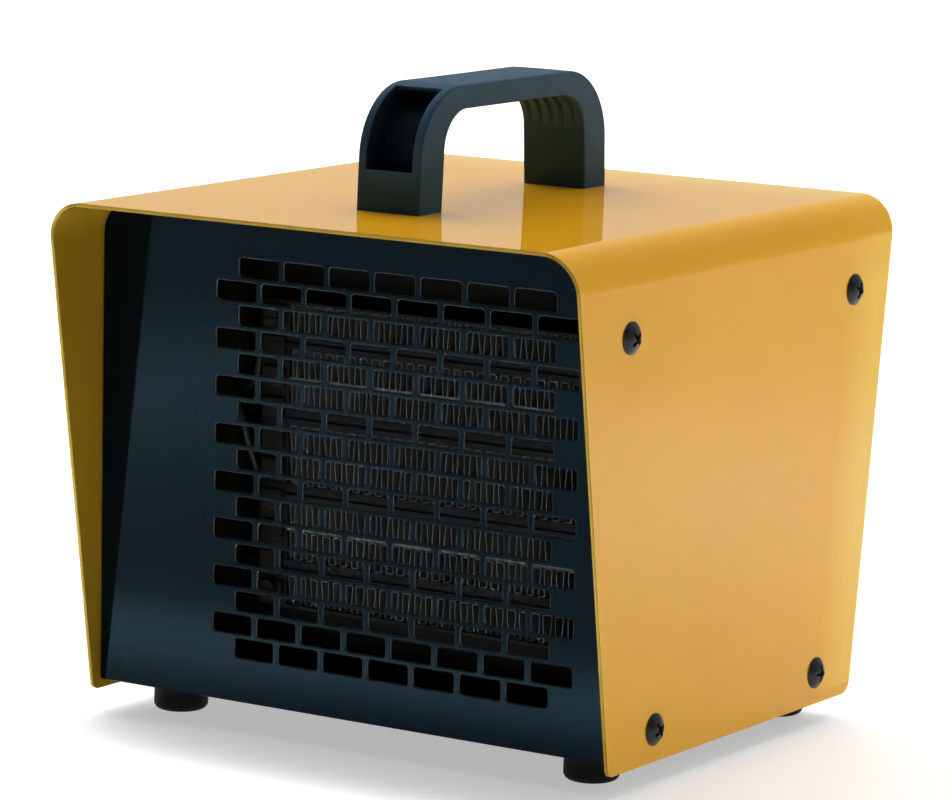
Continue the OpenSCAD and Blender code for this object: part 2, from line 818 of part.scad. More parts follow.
// Routes of the inner wires, through the holes in the divider where they cross it
route_low = [[-51, -50, 127.4], [-51, -50, 122], [-53, -49, 114], [-58, -48, 109], [-64, -44, 107],
    [-72, -24, 102], [-78, 8, 96], [-78, 30, 92], [-78, 48.3, 90]];
route_high = [[-51, -50, 79.3], [-51, -51.5, 84], [-52, -55, 93], [-54, -56, 101], [-58, -55, 107.5],
    [-64, -50, 106], [-72, -30, 96], [-76, 0, 90], [-82, 30, 86], [-82, 48.3, 84]];
route_motor = [[3.1, 39, 136.6], [-4, 38, 138], [-20, 36, 138], [-36, 36, 130], [-48, 40, 112],
    [-54, 43, 102], [-58, 44, 100], [-63, 42, 98], [-67, 44, 95], [-68, 48.3, 94]];
wire_r = 1.3;

// A point on the smooth curve through the points p, at parameter u
function spline(p, u) =
    let (n = len(p) - 1, i = min(floor(u), n - 1), t = u - i)
    let (a = p[max(i - 1, 0)], b = p[i], c = p[i + 1], d = p[min(i + 2, n)])
    0.5 * (2 * b + (c - a) * t + (2 * a - 5 * b + 4 * c - d) * t * t
        + (3 * b - a - 3 * c + d) * t * t * t);

// A round tube swept along the smooth curve through the points p
module tube(p, r) {
    sides = 8;
    rings = 3 * (len(p) - 1);
    path = [for (i = [0:rings]) spline(p, i / 3)];
    dir = [for (i = [0:rings]) unit(path[min(i + 1, rings)] - path[max(i - 1, 0)])];
    ring = [for (i = [0:rings])
        let (u = unit(cross(dir[i], [0.1, 0.2, 1])), v = cross(u, dir[i]))
        for (k = [0:sides - 1]) path[i] + r * (u * cos(k * 360 / sides) + v * sin(k * 360 / sides))];
    walls = [for (i = [0:rings - 1]) for (k = [0:sides - 1])
        let (a = i * sides + k, b = i * sides + (k + 1) % sides)
        each [[a, b, b + sides], [a, b + sides, a + sides]]];
    ends = [[for (k = [sides - 1:-1:0]) k], [for (k = [0:sides - 1]) rings * sides + k]];
    polyhedron(points = ring, faces = concat(walls, ends));
}

cover();
front_grille();
front_flanges();
rear_panel();
rear_flanges();
base_tray();
handle();
handle_screws();
handle_washers();
cover_screws(-1);  // cover_screws_left
cover_screws(1);  // cover_screws_right
foot(foot_places[0]);  // foot_front_left
foot(foot_places[1]);  // foot_front_right
foot(foot_places[2]);  // foot_rear_left
foot(foot_places[3]);  // foot_rear_right
foot_screws();
foot_nuts();
divider();
heater_baffle();
fan_shroud();
inner_screws();
heater_end(heater_left, true);  // heater_end_left
heater_end(heater_right - end_w, false);  // heater_end_right
heater_rail(stack_top - rail_t);  // heater_rail_top
heater_rail(stack_bottom);  // heater_rail_bottom
ptc_bar(0);  // ptc_bar_1
ptc_bar(1);  // ptc_bar_2
ptc_bar(2);  // ptc_bar_3
ptc_bar(3);  // ptc_bar_4
fin_end_strip(bar_z[0] + bar_h / 2);  // fin_pack_1
fin_pair(0);  // fin_pack_2
fin_pair(1);  // fin_pack_3
fin_pair(2);  // fin_pack_4
fin_end_strip(bar_z[3] - bar_h / 2 - fin_h);  // fin_pack_5
heater_terminals();
heater_screws();
motor_strut();
motor_core();
motor_coil();
motor_bracket_front();
motor_bracket_rear();
motor_bolts();
motor_rotor();
motor_shaft();
fan_blade();
fan_clip();
thermostat_body();
control_shaft(thermostat_z);  // thermostat_shaft
control_knob(thermostat_z);  // thermostat_knob
thermostat_bulb();
selector_body();
control_shaft(selector_z);  // selector_shaft
control_knob(selector_z);  // selector_knob
cutout_body();
reset_button();
control_nuts();
terminal_block();
cable_gland();
gland_nut();
color(red) tube(route_low, wire_r);  // wire_heater_low
color(copper) tube(route_high, wire_r);  // wire_heater_high
color(black) tube(route_motor, wire_r);  // wire_motor
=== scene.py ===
"""Portable ceramic fan heater: the visual model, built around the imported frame.

Lengths are in millimetres until a piece is finished, which scales it to metres.
"""
import json
import math
import random

import bmesh
import bpy
from mathutils import Matrix, Vector

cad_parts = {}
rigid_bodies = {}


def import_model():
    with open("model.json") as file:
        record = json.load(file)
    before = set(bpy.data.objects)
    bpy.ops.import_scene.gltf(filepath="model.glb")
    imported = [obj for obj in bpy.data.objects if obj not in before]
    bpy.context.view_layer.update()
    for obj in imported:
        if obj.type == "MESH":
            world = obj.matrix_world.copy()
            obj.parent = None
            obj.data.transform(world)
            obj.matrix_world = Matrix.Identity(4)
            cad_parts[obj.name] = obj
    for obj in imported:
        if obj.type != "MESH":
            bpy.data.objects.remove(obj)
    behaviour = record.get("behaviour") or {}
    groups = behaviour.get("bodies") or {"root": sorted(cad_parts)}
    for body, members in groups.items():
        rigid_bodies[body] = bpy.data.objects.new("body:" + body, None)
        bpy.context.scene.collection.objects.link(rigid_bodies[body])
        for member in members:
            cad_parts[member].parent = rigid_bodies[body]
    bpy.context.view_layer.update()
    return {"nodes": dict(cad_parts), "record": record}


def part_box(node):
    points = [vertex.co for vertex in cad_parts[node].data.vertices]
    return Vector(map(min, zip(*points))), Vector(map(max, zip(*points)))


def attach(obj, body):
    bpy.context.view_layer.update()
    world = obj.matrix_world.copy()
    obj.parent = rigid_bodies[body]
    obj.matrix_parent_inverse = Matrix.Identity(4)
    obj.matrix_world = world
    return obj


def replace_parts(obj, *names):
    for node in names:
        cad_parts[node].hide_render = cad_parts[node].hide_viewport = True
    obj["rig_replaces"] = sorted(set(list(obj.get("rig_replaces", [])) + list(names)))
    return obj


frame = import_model()

MM = 0.001
TAU = 2 * math.pi
NODE_SLOT = {row["node"]: row["material_slot"] for row in frame["record"]["subparts"]}
MATERIAL = {}


def add_object(name, data):
    obj = bpy.data.objects.new(name, data)
    bpy.context.scene.collection.objects.link(obj)
    return obj


def set_inputs(node, **values):
    """Sets a node's sockets; an underscore stands for a space."""
    for key, value in values.items():
        node.inputs[key.replace("_", " ")].default_value = value


# -------- camera
def make_camera():
    """A long lens about 1.6 m away, low and to the front right; angles in degrees."""
    azimuth, elevation, roll = (math.radians(a) for a in (32.902, 9.301, 1.211))
    distance, side_shift, up_shift, aim_height = 1575.877, 0.143, 5.207, 100.0
    back = Vector((math.sin(azimuth) * math.cos(elevation),
                   -math.cos(azimuth) * math.cos(elevation), math.sin(elevation)))
    right = Vector((math.cos(azimuth), math.sin(azimuth), 0))
    up = back.cross(right)
    right, up = (math.cos(roll) * right + math.sin(roll) * up,
                 -math.sin(roll) * right + math.cos(roll) * up)
    data = bpy.data.cameras.new("Camera")
    data.sensor_width = 36.0
    data.lens = 181.71
    data.clip_start, data.clip_end = 0.05, 60.0
    camera = add_object("Camera", data)
    place = (Vector((0, 0, aim_height)) + right * side_shift + up * up_shift
             + back * distance)
    turn = Matrix((right, up, back)).transposed().to_4x4()
    camera.matrix_world = Matrix.Translation(place * MM) @ turn
    bpy.context.scene.camera = camera


make_camera()


# -------- materials
class Finish:
    """One procedural material: colour, roughness and relief all vary over the surface."""

    def __init__(self, name, metallic=0.0, **sockets):
        self.material = MATERIAL[name] = bpy.data.materials.new(name)
        self.material.use_nodes = True
        self.tree = self.material.node_tree
        self.shader = self.tree.nodes["Principled BSDF"]
        set_inputs(self.shader, Metallic=metallic, **sockets)
        self.place = self.node("ShaderNodeTexCoord").outputs["Object"]

    def node(self, kind, **values):
        made = self.tree.nodes.new(kind)
        set_inputs(made, **values)
        return made

    def link(self, a, b):
        self.tree.links.new(a, b)

    def noise(self, scale, detail=3.0, stretch=None):
        """Noise of so many waves to the metre; stretch scales the axes for a grain."""
        made = self.node("ShaderNodeTexNoise", Scale=scale, Detail=detail, Roughness=0.5)
        place = self.place
        if stretch:
            mapping = self.node("ShaderNodeMapping", Scale=stretch)
            self.link(place, mapping.inputs["Vector"])
            place = mapping.outputs["Vector"]
        self.link(place, made.inputs["Vector"])
        return made.outputs["Fac"]

    def spread(self, value, low, high, start=0.3, end=0.7):
        made = self.node("ShaderNodeMapRange", From_Min=start, From_Max=end, To_Min=low,
                         To_Max=high)
        self.link(value, made.inputs["Value"])
        return made.outputs["Result"]

    def ramp(self, value, *stops):
        made = self.node("ShaderNodeValToRGB")
        for element, (place, colour) in zip(made.color_ramp.elements, stops):
            element.position = place
            element.color = (*colour, 1)
        self.link(value, made.inputs["Fac"])
        return made.outputs["Color"]

    def mix(self, factor, a, b, blend="MIX"):
        made = self.node("ShaderNodeMix")
        made.data_type = "RGBA"
        made.blend_type = blend
        for name, value in (("Factor", factor), ("A", a), ("B", b)):
            target = next(s for s in made.inputs if s.name == name and s.enabled)
            if isinstance(value, bpy.types.NodeSocket):
                self.link(value, target)
            else:
                target.default_value = value if isinstance(value, float) else (*value, 1)
        return next(s for s in made.outputs if s.enabled)

    def edges(self, colour, wear, low=0.52, high=0.6):
        """Mixes a wear colour in along convex edges."""
        convex = self.node("ShaderNodeNewGeometry").outputs["Pointiness"]
        return self.mix(self.spread(convex, 0.0, 1.0, low, high), colour, wear)

    def colour(self, value):
        self.link(value, self.shader.inputs["Base Color"])
        return self

    def roughness(self, value):
        self.link(value, self.shader.inputs["Roughness"])
        return self

    def relief(self, *layers, coat=False):
        """Stacks bumps, each (height, strength, depth in mm)."""
        normal = None
        for height, strength, depth in layers:
            bump = self.node("ShaderNodeBump", Strength=strength, Distance=depth * MM)
            self.link(height, bump.inputs["Height"])
            if normal:
                self.link(normal, bump.inputs["Normal"])
            normal = bump.outputs["Normal"]
        self.link(normal, self.shader.inputs["Normal"])
        if coat:
            self.link(normal, self.shader.inputs["Coat Normal"])


def tint(colour, factor):
    return tuple(min(1.0, c * factor) for c in colour)


def enamel(name, colour, shade, wear):
    """Smooth stoved paint under a glassy surface, with a faint orange peel."""
    f = Finish(name, Coat_Weight=1.0, Coat_Roughness=0.03, Coat_IOR=1.30,
               Specular_IOR_Level=0.0)
    cloud = f.ramp(f.noise(9.0, 4.0), (0.35, shade), (0.65, colour))
    fleck = f.mix(f.spread(f.noise(2600.0, 2.0), 0.0, 0.10), cloud, tint(colour, 0.8))
    f.colour(f.edges(fleck, wear)).roughness(f.spread(f.noise(60.0), 0.30, 0.42))
    f.relief((f.noise(160.0, 2.0), 0.06, 0.05), coat=True)


def black_enamel(name):
    """Blue-black stoved enamel, glassy but for a faint orange peel and fine dust."""
    f = Finish(name, IOR=1.5, Specular_IOR_Level=0.12, Specular_Tint=(0.24, 0.68, 1.0, 1.0))
    cloud = f.ramp(f.noise(9.0, 4.0), (0.35, (0.0016, 0.0026, 0.0034)),
                   (0.65, (0.0024, 0.0038, 0.0050)))
    dust = f.spread(f.noise(1900.0, 2.0), 0.0, 0.5, 0.62, 0.74)
    f.colour(f.mix(dust, cloud, (0.012, 0.015, 0.018)))
    f.roughness(f.spread(f.noise(60.0), 0.05, 0.09))
    f.relief((f.noise(160.0, 2.0), 0.16, 0.05))


def moulded(name, colour, light, rough=(0.4, 0.55), grain=2200.0, depth=0.03, worn=True,
            **sockets):
    """Injection-moulded plastic with a fine spark-eroded grain of so many waves to the metre."""
    f = Finish(name, **sockets)
    cloud = f.ramp(f.noise(35.0, 4.0), (0.3, colour), (0.7, light))
    f.colour(f.edges(cloud, tint(light, 1.5), 0.53, 0.62) if worn else cloud)
    f.roughness(f.spread(f.noise(180.0), *rough))
    f.relief((f.noise(grain, 2.0), 0.5, depth), (f.noise(25.0, 2.0), 0.15, 0.3))


def zinc_plate(name):
    """Zinc-plated sheet: faint spangle, a drawn grain and a yellowish passivation bloom."""
    f = Finish(name, metallic=1.0)
    spangle = f.node("ShaderNodeTexVoronoi", Scale=140.0)
    f.link(f.place, spangle.inputs["Vector"])
    base = f.mix(f.spread(f.noise(22.0, 4.0), 0.0, 0.6), (0.40, 0.41, 0.43), (0.42, 0.385, 0.30))
    crystal = f.mix(0.12, base, spangle.outputs["Color"], "OVERLAY")
    f.colour(f.edges(crystal, (0.6, 0.6, 0.62)))
    f.roughness(f.spread(f.noise(90.0), 0.28, 0.46))
    f.relief((f.noise(300.0, 3.0, stretch=(1, 1, 12)), 0.15, 0.02))


def foil_metal(name, colour, warm, rough=(0.24, 0.42), metallic=1.0):
    """Thin rolled metal with rolling lines, a slight heat tint and some dust."""
    f = Finish(name, metallic=metallic)
    cloud = f.ramp(f.noise(70.0, 4.0), (0.35, warm), (0.6, colour))
    f.colour(f.mix(f.spread(f.noise(420.0), 0.0, 0.35), cloud, tint(colour, 0.6)))
    f.roughness(f.spread(f.noise(260.0), *rough))
    f.relief((f.noise(500.0, 2.0, stretch=(14, 1, 1)), 0.25, 0.02))


def laminated_steel(name, dark, light, pitch):
    """A stack of steel sheets: fine ridges, pitch millimetres apart."""
    f = Finish(name, metallic=1.0)
    wave = f.node("ShaderNodeTexWave", Scale=100 * math.pi / pitch, Distortion=0.0)
    wave.bands_direction = "Y"
    f.link(f.place, wave.inputs["Vector"])
    lines = wave.outputs["Fac"]
    cloud = f.mix(f.spread(f.noise(60.0, 3.0), 0.0, 1.0), dark, light)
    f.colour(f.mix(f.spread(lines, 0.65, 0.0, 0.0, 0.5), cloud, tint(dark, 0.35)))
    f.roughness(f.spread(f.noise(150.0), 0.35, 0.5))
    f.relief((lines, 0.6, 0.2))


def rubber(name):
    f = Finish(name, Specular_IOR_Level=0.15)
    cloud = f.ramp(f.noise(80.0, 4.0), (0.35, (0.0035, 0.004, 0.0045)),
                   (0.7, (0.007, 0.0075, 0.008)))
    f.colour(f.edges(cloud, (0.02, 0.02, 0.02)))
    f.roughness(f.spread(f.noise(200.0), 0.55, 0.75))
    f.relief((f.noise(1500.0, 3.0), 0.4, 0.05))


enamel("cover_paint", (0.905, 0.445, 0.012), (0.865, 0.41, 0.009), (0.94, 0.55, 0.045))
# a darker copy of the cover paint for the sheet's inner face and cut edges: painted shade
enamel("cover_inside_painted_shade", (0.36, 0.222, 0.013), (0.32, 0.192, 0.010), (0.6, 0.37, 0.03))
black_enamel("panel_paint")
# a lighter grey for the punched rims of the black panels: painted highlight
moulded("panel_edge_highlight", (0.085, 0.108, 0.12), (0.12, 0.148, 0.16), (0.16, 0.3), 900.0, 0.01)
moulded("handle_plastic", (0.017, 0.048, 0.080), (0.022, 0.058, 0.100), (0.48, 0.6),
        Specular_IOR_Level=0.35, Specular_Tint=(0.5, 0.85, 1.0, 1.0))
# a darker copy of the handle plastic for the pocket's floor: painted shade in the recess
moulded("pocket_painted_shade", (0.004, 0.013, 0.022), (0.006, 0.017, 0.030), (0.5, 0.62),
        Specular_IOR_Level=0.15)
moulded("knob_plastic", (0.012, 0.013, 0.015), (0.022, 0.023, 0.026), (0.3, 0.45), worn=False)
moulded("fan_plastic", (0.016, 0.016, 0.017), (0.03, 0.03, 0.032), grain=900.0)
moulded("gland_plastic", (0.012, 0.012, 0.013), (0.02, 0.02, 0.022), (0.35, 0.5))
moulded("button_plastic", (0.42, 0.016, 0.012), (0.55, 0.028, 0.02), (0.18, 0.28), 1200.0, 0.01)
moulded("black_screw", (0.0045, 0.005, 0.0055), (0.008, 0.009, 0.010), (0.3, 0.42), 900.0, 0.02,
        Specular_IOR_Level=0.4)
rubber("foot_rubber")
zinc_plate("zinc_steel")
laminated_steel("core_steel", (0.09, 0.09, 0.10), (0.19, 0.185, 0.18), pitch=2.042)
# a grey much darker than bare aluminium: painted shade for the dim inside of the heater
foil_metal("fin_aluminium", (0.125, 0.152, 0.152), (0.10, 0.115, 0.11), (0.5, 0.65), 0.5)
# near-black in place of bare aluminium: painted shade for the dark inside of the heater, worn by
# the bars, the rails and the terminals
foil_metal("bar_metal", (0.008, 0.010, 0.011), (0.006, 0.007, 0.007), (0.5, 0.65), 0.8)
moulded("frame_plastic", (0.005, 0.0048, 0.0045), (0.009, 0.0085, 0.008), (0.5, 0.65),
        Specular_IOR_Level=0.1)
moulded("heat_plastic", (0.55, 0.51, 0.42), (0.66, 0.62, 0.53))
foil_metal("copper", (0.60, 0.28, 0.15), (0.42, 0.18, 0.08))
foil_metal("coil_wire", (0.44, 0.16, 0.055), (0.28, 0.09, 0.03), (0.2, 0.32))
moulded("block_ceramic", (0.72, 0.69, 0.62), (0.82, 0.80, 0.74), (0.5, 0.7), 1400.0, 0.06)
# near-black leads: painted shade for the dark inside of the heater
moulded("wire_insulation", (0.009, 0.009, 0.010), (0.016, 0.016, 0.017))
moulded("print_white", (0.70, 0.70, 0.68), (0.82, 0.82, 0.80), grain=3000.0, depth=0.01)


# -------- mesh tools
def box_mm(node):
    low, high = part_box(node)
    return low / MM, high / MM


def finish_piece(name, bm, material, body="housing", slot=None, replaces=(), bevel=0.0,
                 segments=2, angle=40.0, sharp=35.0, solid=0.0):
    """Turns a bmesh in millimetres into a piece that rides on its body.

    solid is a sheet's thickness, bevel the width of rounded edges sharper than angle, and sharp
    the angle of the edges that stay sharp where there is neither. The slot argument is not used:
    it is set to the material's name where the record has that slot, and nothing reads it.
    """
    if not slot and material in NODE_SLOT.values():
        slot = material
    bmesh.ops.scale(bm, vec=(MM, MM, MM), verts=bm.verts)
    mesh = bpy.data.meshes.new(name)
    bm.to_mesh(mesh)
    bm.free()
    mesh.shade_smooth()
    obj = add_object(name, mesh)
    if solid:
        modifier = obj.modifiers.new("Sheet", "SOLIDIFY")
        modifier.thickness = solid * MM
        modifier.offset = -1.0
        modifier.use_even_offset = True
    if bevel:
        modifier = obj.modifiers.new("Edges", "BEVEL")
        modifier.width = bevel * MM
        modifier.segments = segments
        modifier.limit_method = "ANGLE"
        modifier.angle_limit = math.radians(angle)
    obj.modifiers.new("Normals", "WEIGHTED_NORMAL").keep_sharp = True
    if not solid and not bevel:
        mesh.set_sharp_from_angle(angle=math.radians(sharp))
    mesh.materials.append(MATERIAL[material])
    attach(obj, body)
    if replaces:
        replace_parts(obj, *replaces)
    return obj


def face_out(bm, faces=None):
    bmesh.ops.recalc_face_normals(bm, faces=faces or bm.faces)


def bridge(bm, first, second, closed=True, around=False):
    """Quads between two rings, or rows, of points; around starts each quad along the ring."""
    count = len(first)
    faces = []
    for k in range(count if closed else count - 1):
        n = (k + 1) % count
        a, b, c, d = first[k], second[k], second[n], first[n]
        faces.append(bm.faces.new((a, d, c, b) if around else (a, b, c, d)))
    return faces


def prism(bm, outline, axis, start, end):
    """Extrudes a closed outline along an axis; its pairs are the other two axes in order."""
    def point(a, b, along):
        values = [a, b]
        values.insert(axis, along)
        return values
    first, last = [[bm.verts.new(point(a, b, t)) for a, b in outline] for t in (start, end)]
    faces = [bm.faces.new(first), bm.faces.new(last[::-1])]
    face_out(bm, faces + bridge(bm, first, last))


def block(bm, low, high):
    (x0, y0, z0), (x1, y1, z1) = low, high
    prism(bm, [(x0, y0), (x1, y0), (x1, y1), (x0, y1)], 2, z0, z1)


def rounded_box(width, height, radius, steps, centre):
    """Outline of a rectangle with round corners, counter-clockwise."""
    points = []
    for quarter, (sx, sy) in enumerate(((1, 1), (-1, 1), (-1, -1), (1, -1))):
        for i in range(steps + 1):
            a = (quarter + i / steps) * math.pi / 2
            points.append((centre[0] + sx * (width / 2 - radius) + radius * math.cos(a),
                           centre[1] + sy * (height / 2 - radius) + radius * math.sin(a)))
    return points


def circle(radius, centre):
    steps = 48
    return [(centre[0] + radius * math.cos(TAU * i / steps),
             centre[1] + radius * math.sin(TAU * i / steps)) for i in range(steps)]


def fillet(a, b, c, radius, steps):
    """Points of the round corner at b, from the side of a to the side of c."""
    a, b, c = Vector(a), Vector(b), Vector(c)
    u, v = (a - b).normalized(), (c - b).normalized()
    half = math.acos(u.dot(v)) / 2
    middle = b + (u + v).normalized() * radius / math.sin(half)
    p = b + u * radius / math.tan(half) - middle
    q = b + v * radius / math.tan(half) - middle
    return [middle + p.lerp(q, i / steps).normalized() * radius for i in range(steps + 1)]


def revolve(bm, centre, axis, profile, sectors, shape=None, closed=False):
    """Turns a profile of (radius, along) pairs about axis 1 (Y) or 2 (Z).

    shape(angle, radius, along) may change the radius. A last radius of 0 closes the end.
    """
    rings = []
    for radius, along in profile:
        ring = []
        for i in range(sectors if radius else 1):
            angle = TAU * i / sectors
            r = shape(angle, radius, along) if shape else radius
            place = [r * math.cos(angle), r * math.sin(angle)]
            place.insert(axis, along)
            ring.append(bm.verts.new(Vector(centre) + Vector(place)))
        rings.append(ring)
    faces = []
    for first, second in list(zip(rings, rings[1:])) + ([(rings[-1], rings[0])] if closed else []):
        if len(second) > 1:
            faces += bridge(bm, first, second)
        else:
            faces += [bm.faces.new((first[i], second[0], first[(i + 1) % sectors]))
                      for i in range(sectors)]
    face_out(bm, faces)


def tube(bm, path, radius):
    """A round tube along a list of points, closed at both ends."""
    sides = 12
    points = [Vector(p) for p in path]
    normal, rings = Vector((0.1, 0.2, 1.0)), []
    for i, point in enumerate(points):
        along = (points[min(i + 1, len(points) - 1)] - points[max(i - 1, 0)]).normalized()
        normal = (normal - normal.dot(along) * along).normalized()
        other = along.cross(normal)
        rings.append([bm.verts.new(point + radius * (math.cos(TAU * k / sides) * normal
                                                     + math.sin(TAU * k / sides) * other))
                      for k in range(sides)])
    for first, second in zip(rings, rings[1:]):
        bridge(bm, first, second, around=True)
    bm.faces.new(rings[0][::-1])
    bm.faces.new(rings[-1])


def spline(points):
    """A smooth curve through the points."""
    per_span = 6
    points = [Vector(p) for p in points]
    made, last = [], len(points) - 1
    for i in range(last):
        a, b = points[max(i - 1, 0)], points[i]
        c, d = points[i + 1], points[min(i + 2, last)]
        for k in range(per_span):
            t = k / per_span
            made.append(0.5 * (2 * b + (c - a) * t + (2 * a - 5 * b + 4 * c - d) * t * t
                               + (3 * b - a - 3 * c + d) * t ** 3))
    return made + [points[-1]]


def punched_sheet(outline, holes, thickness, edge, face_y):
    """A flat sheet in X and Z, from face_y on, with softly rounded punched edges."""
    curve = bpy.data.curves.new("sheet", "CURVE")
    curve.dimensions = "2D"
    curve.fill_mode = "BOTH"
    curve.extrude = thickness / 2 - edge
    curve.bevel_depth = edge
    curve.bevel_resolution = 1
    curve.offset = -edge
    for loop in [outline, *holes]:
        line = curve.splines.new("POLY")
        line.points.add(len(loop) - 1)
        for point, (x, z) in zip(line.points, loop):
            point.co = (x, z, 0.0, 1.0)
        line.use_cyclic_u = True
    holder = add_object("sheet", curve)
    graph = bpy.context.evaluated_depsgraph_get()
    mesh = bpy.data.meshes.new_from_object(holder.evaluated_get(graph), depsgraph=graph)
    bm = bmesh.new()
    bm.from_mesh(mesh)
    bpy.data.objects.remove(holder)
    bpy.data.curves.remove(curve)
    bpy.data.meshes.remove(mesh)
    bmesh.ops.remove_doubles(bm, verts=bm.verts, dist=0.004)
    for v in bm.verts:
        v.co = (v.co.x, face_y + thickness / 2 - v.co.z, v.co.y)
    face_out(bm)
    return bm


def slot_holes(x, z, rows, count, step):
    """Staggered slots: even rows have count of them, odd rows count + step."""
    width, height, corner, pitch, row_pitch = 15.4, 6.3, 1.1, 17.4, 7.75
    holes = []
    for row in range(rows):
        n = count + (row % 2) * step
        row_z = z + ((rows - 1) / 2 - row) * row_pitch
        for i in range(n):
            holes.append(rounded_box(width, height, corner, 4,
                                     (x + (i - (n - 1) / 2) * pitch, row_z))[::-1])
    return holes


def arch_outline(half, top, bottom):
    """A panel's outline: two large upper corners and two small lower ones."""
    corners = [(half, bottom), (half, top), (-half, top), (-half, bottom)]
    points = []
    for n, (radius, steps) in enumerate(((11.3, 10), (11.3, 10), (0.6, 3), (0.6, 3))):
        before, corner, after = (corners[(n + k) % 4] for k in range(3))
        points += fillet(before, corner, after, radius, steps)
    return [(p.x, p.y) for p in points]


# -------- sheet metal
AXIS_X, AXIS_Z = 20.5, 91.0
CONTROL_X = -78.0
CONTROLS = {"thermostat": 126.0, "selector": 88.0, "cutout": 56.0, "gland": 30.0}


def at_height(outline, z):
    """The first coordinate of a rising [y, z] line at height z."""
    for (y0, z0), (y1, z1) in zip(outline, outline[1:]):
        if min(z0, z1) <= z <= max(z0, z1) and abs(z1 - z0) > 1e-9:
            return y0 + (y1 - y0) * (z - z0) / (z1 - z0)
    return outline[0][0] if z < outline[0][1] else outline[-1][0]


def make_cover():
    """The folded sheet, from side to side; its front and rear edges lean outwards."""
    low, high = box_mm("cover")
    half, top, skirt = high.x, high.z, low.z
    bend = 13.0
    front_low, rear_low = (-75.0, skirt), (78.0, skirt)
    front_high, rear_high = (low.y, top), (high.y, top)
    front_line = [tuple(p) for p in fillet(rear_low, front_low, front_high, 3.0, 12)]
    rear_line = [tuple(p) for p in fillet(front_low, rear_low, rear_high, 5.0, 12)]
    heights = sorted({round(p[1], 4) for p in front_line + rear_line})
    front_line.append(front_high)
    rear_line.append(rear_high)
    side = [(half, z) for z in heights] + [(half, z) for z in (40.0, 90.0, 130.0)]
    corner = [(p.x, p.y) for p in fillet((half, skirt), (half, top), (-half, top), bend, 14)]
    right = side + corner
    profile = [(-x, z) for x, z in right] + right[::-1]
    bm = bmesh.new()
    columns = 6
    rows = []
    for x, z in profile:
        y0, y1 = at_height(front_line, z), at_height(rear_line, z)
        rows.append([bm.verts.new((x, y0 + (y1 - y0) * k / columns, z))
                     for k in range(columns + 1)])
    for first, second in zip(rows, rows[1:]):
        bridge(bm, first, second, closed=False)
    face_out(bm)
    if sum(f.normal.z * f.calc_area() for f in bm.faces) < 0:
        bmesh.ops.reverse_faces(bm, faces=bm.faces)
    cover = finish_piece("cover_sheet", bm, "cover_paint", replaces=("cover",), solid=1.2,
                         bevel=0.4, segments=3, angle=50.0)
    # the inner face and the cut edges get the darker copy of the paint: painted shade
    cover.data.materials.append(MATERIAL["cover_inside_painted_shade"])
    sheet = cover.modifiers["Sheet"]
    sheet.material_offset = sheet.material_offset_rim = 1


def mark_edges(obj):
    """Gives the small faces of the punched edges a lighter grey material of their own: painted
    highlight for the light their rounded rims catch.
    """
    largest = 30e-6  # square metres
    obj.data.materials.append(MATERIAL["panel_edge_highlight"])
    for face in obj.data.polygons:
        if abs(face.normal.y) < 0.9 and face.area < largest:
            face.material_index = 1


def add_flanges(bm, half, face, inward, bottom, reach):
    """Side flanges and the lower flange behind a panel; inward is 1 at the front and -1 behind."""
    sheet, deep, side_bottom, side_top = 1.0, 15.0, 30.0, 152.0
    near = face + inward * sheet
    y0, y1 = sorted((near, face + inward * deep))
    for side in (-1, 1):
        x0, x1 = sorted((side * half, side * (half - sheet)))
        block(bm, (x0, y0, side_bottom), (x1, y1, side_top))
    y0, y1 = sorted((near, face + inward * (sheet + reach)))
    block(bm, (-half, y0, bottom), (half, y1, bottom + sheet))


def make_panels():
    """The grille and the rear panel, each one sheet with its flanges."""
    sheet = 1.0
    for name, inward, holes, edge, reach in (
            ("front_grille", 1, slot_holes(15.5, AXIS_Z - 0.5, 17, 7, 1), 0.34, 27.0),
            ("rear_panel", -1, slot_holes(AXIS_X, AXIS_Z, 13, 7, -1), 0.28, 20.0)):
        low, high = box_mm(name)
        face = low.y
        if name == "rear_panel":
            face = high.y
            holes += [circle(7.1 if control == "gland" else 5.1, (CONTROL_X, z))[::-1]
                      for control, z in CONTROLS.items()]
        bm = punched_sheet(arch_outline(high.x, high.z, low.z), holes, sheet, edge,
                           min(face, face + inward * sheet))
        add_flanges(bm, high.x, face, inward, low.z, reach)
        mark_edges(finish_piece(f"{name}_sheet", bm, "panel_paint", sharp=12.0,
                                replaces=(name, name.split("_")[0] + "_flanges")))


make_cover()
make_panels()


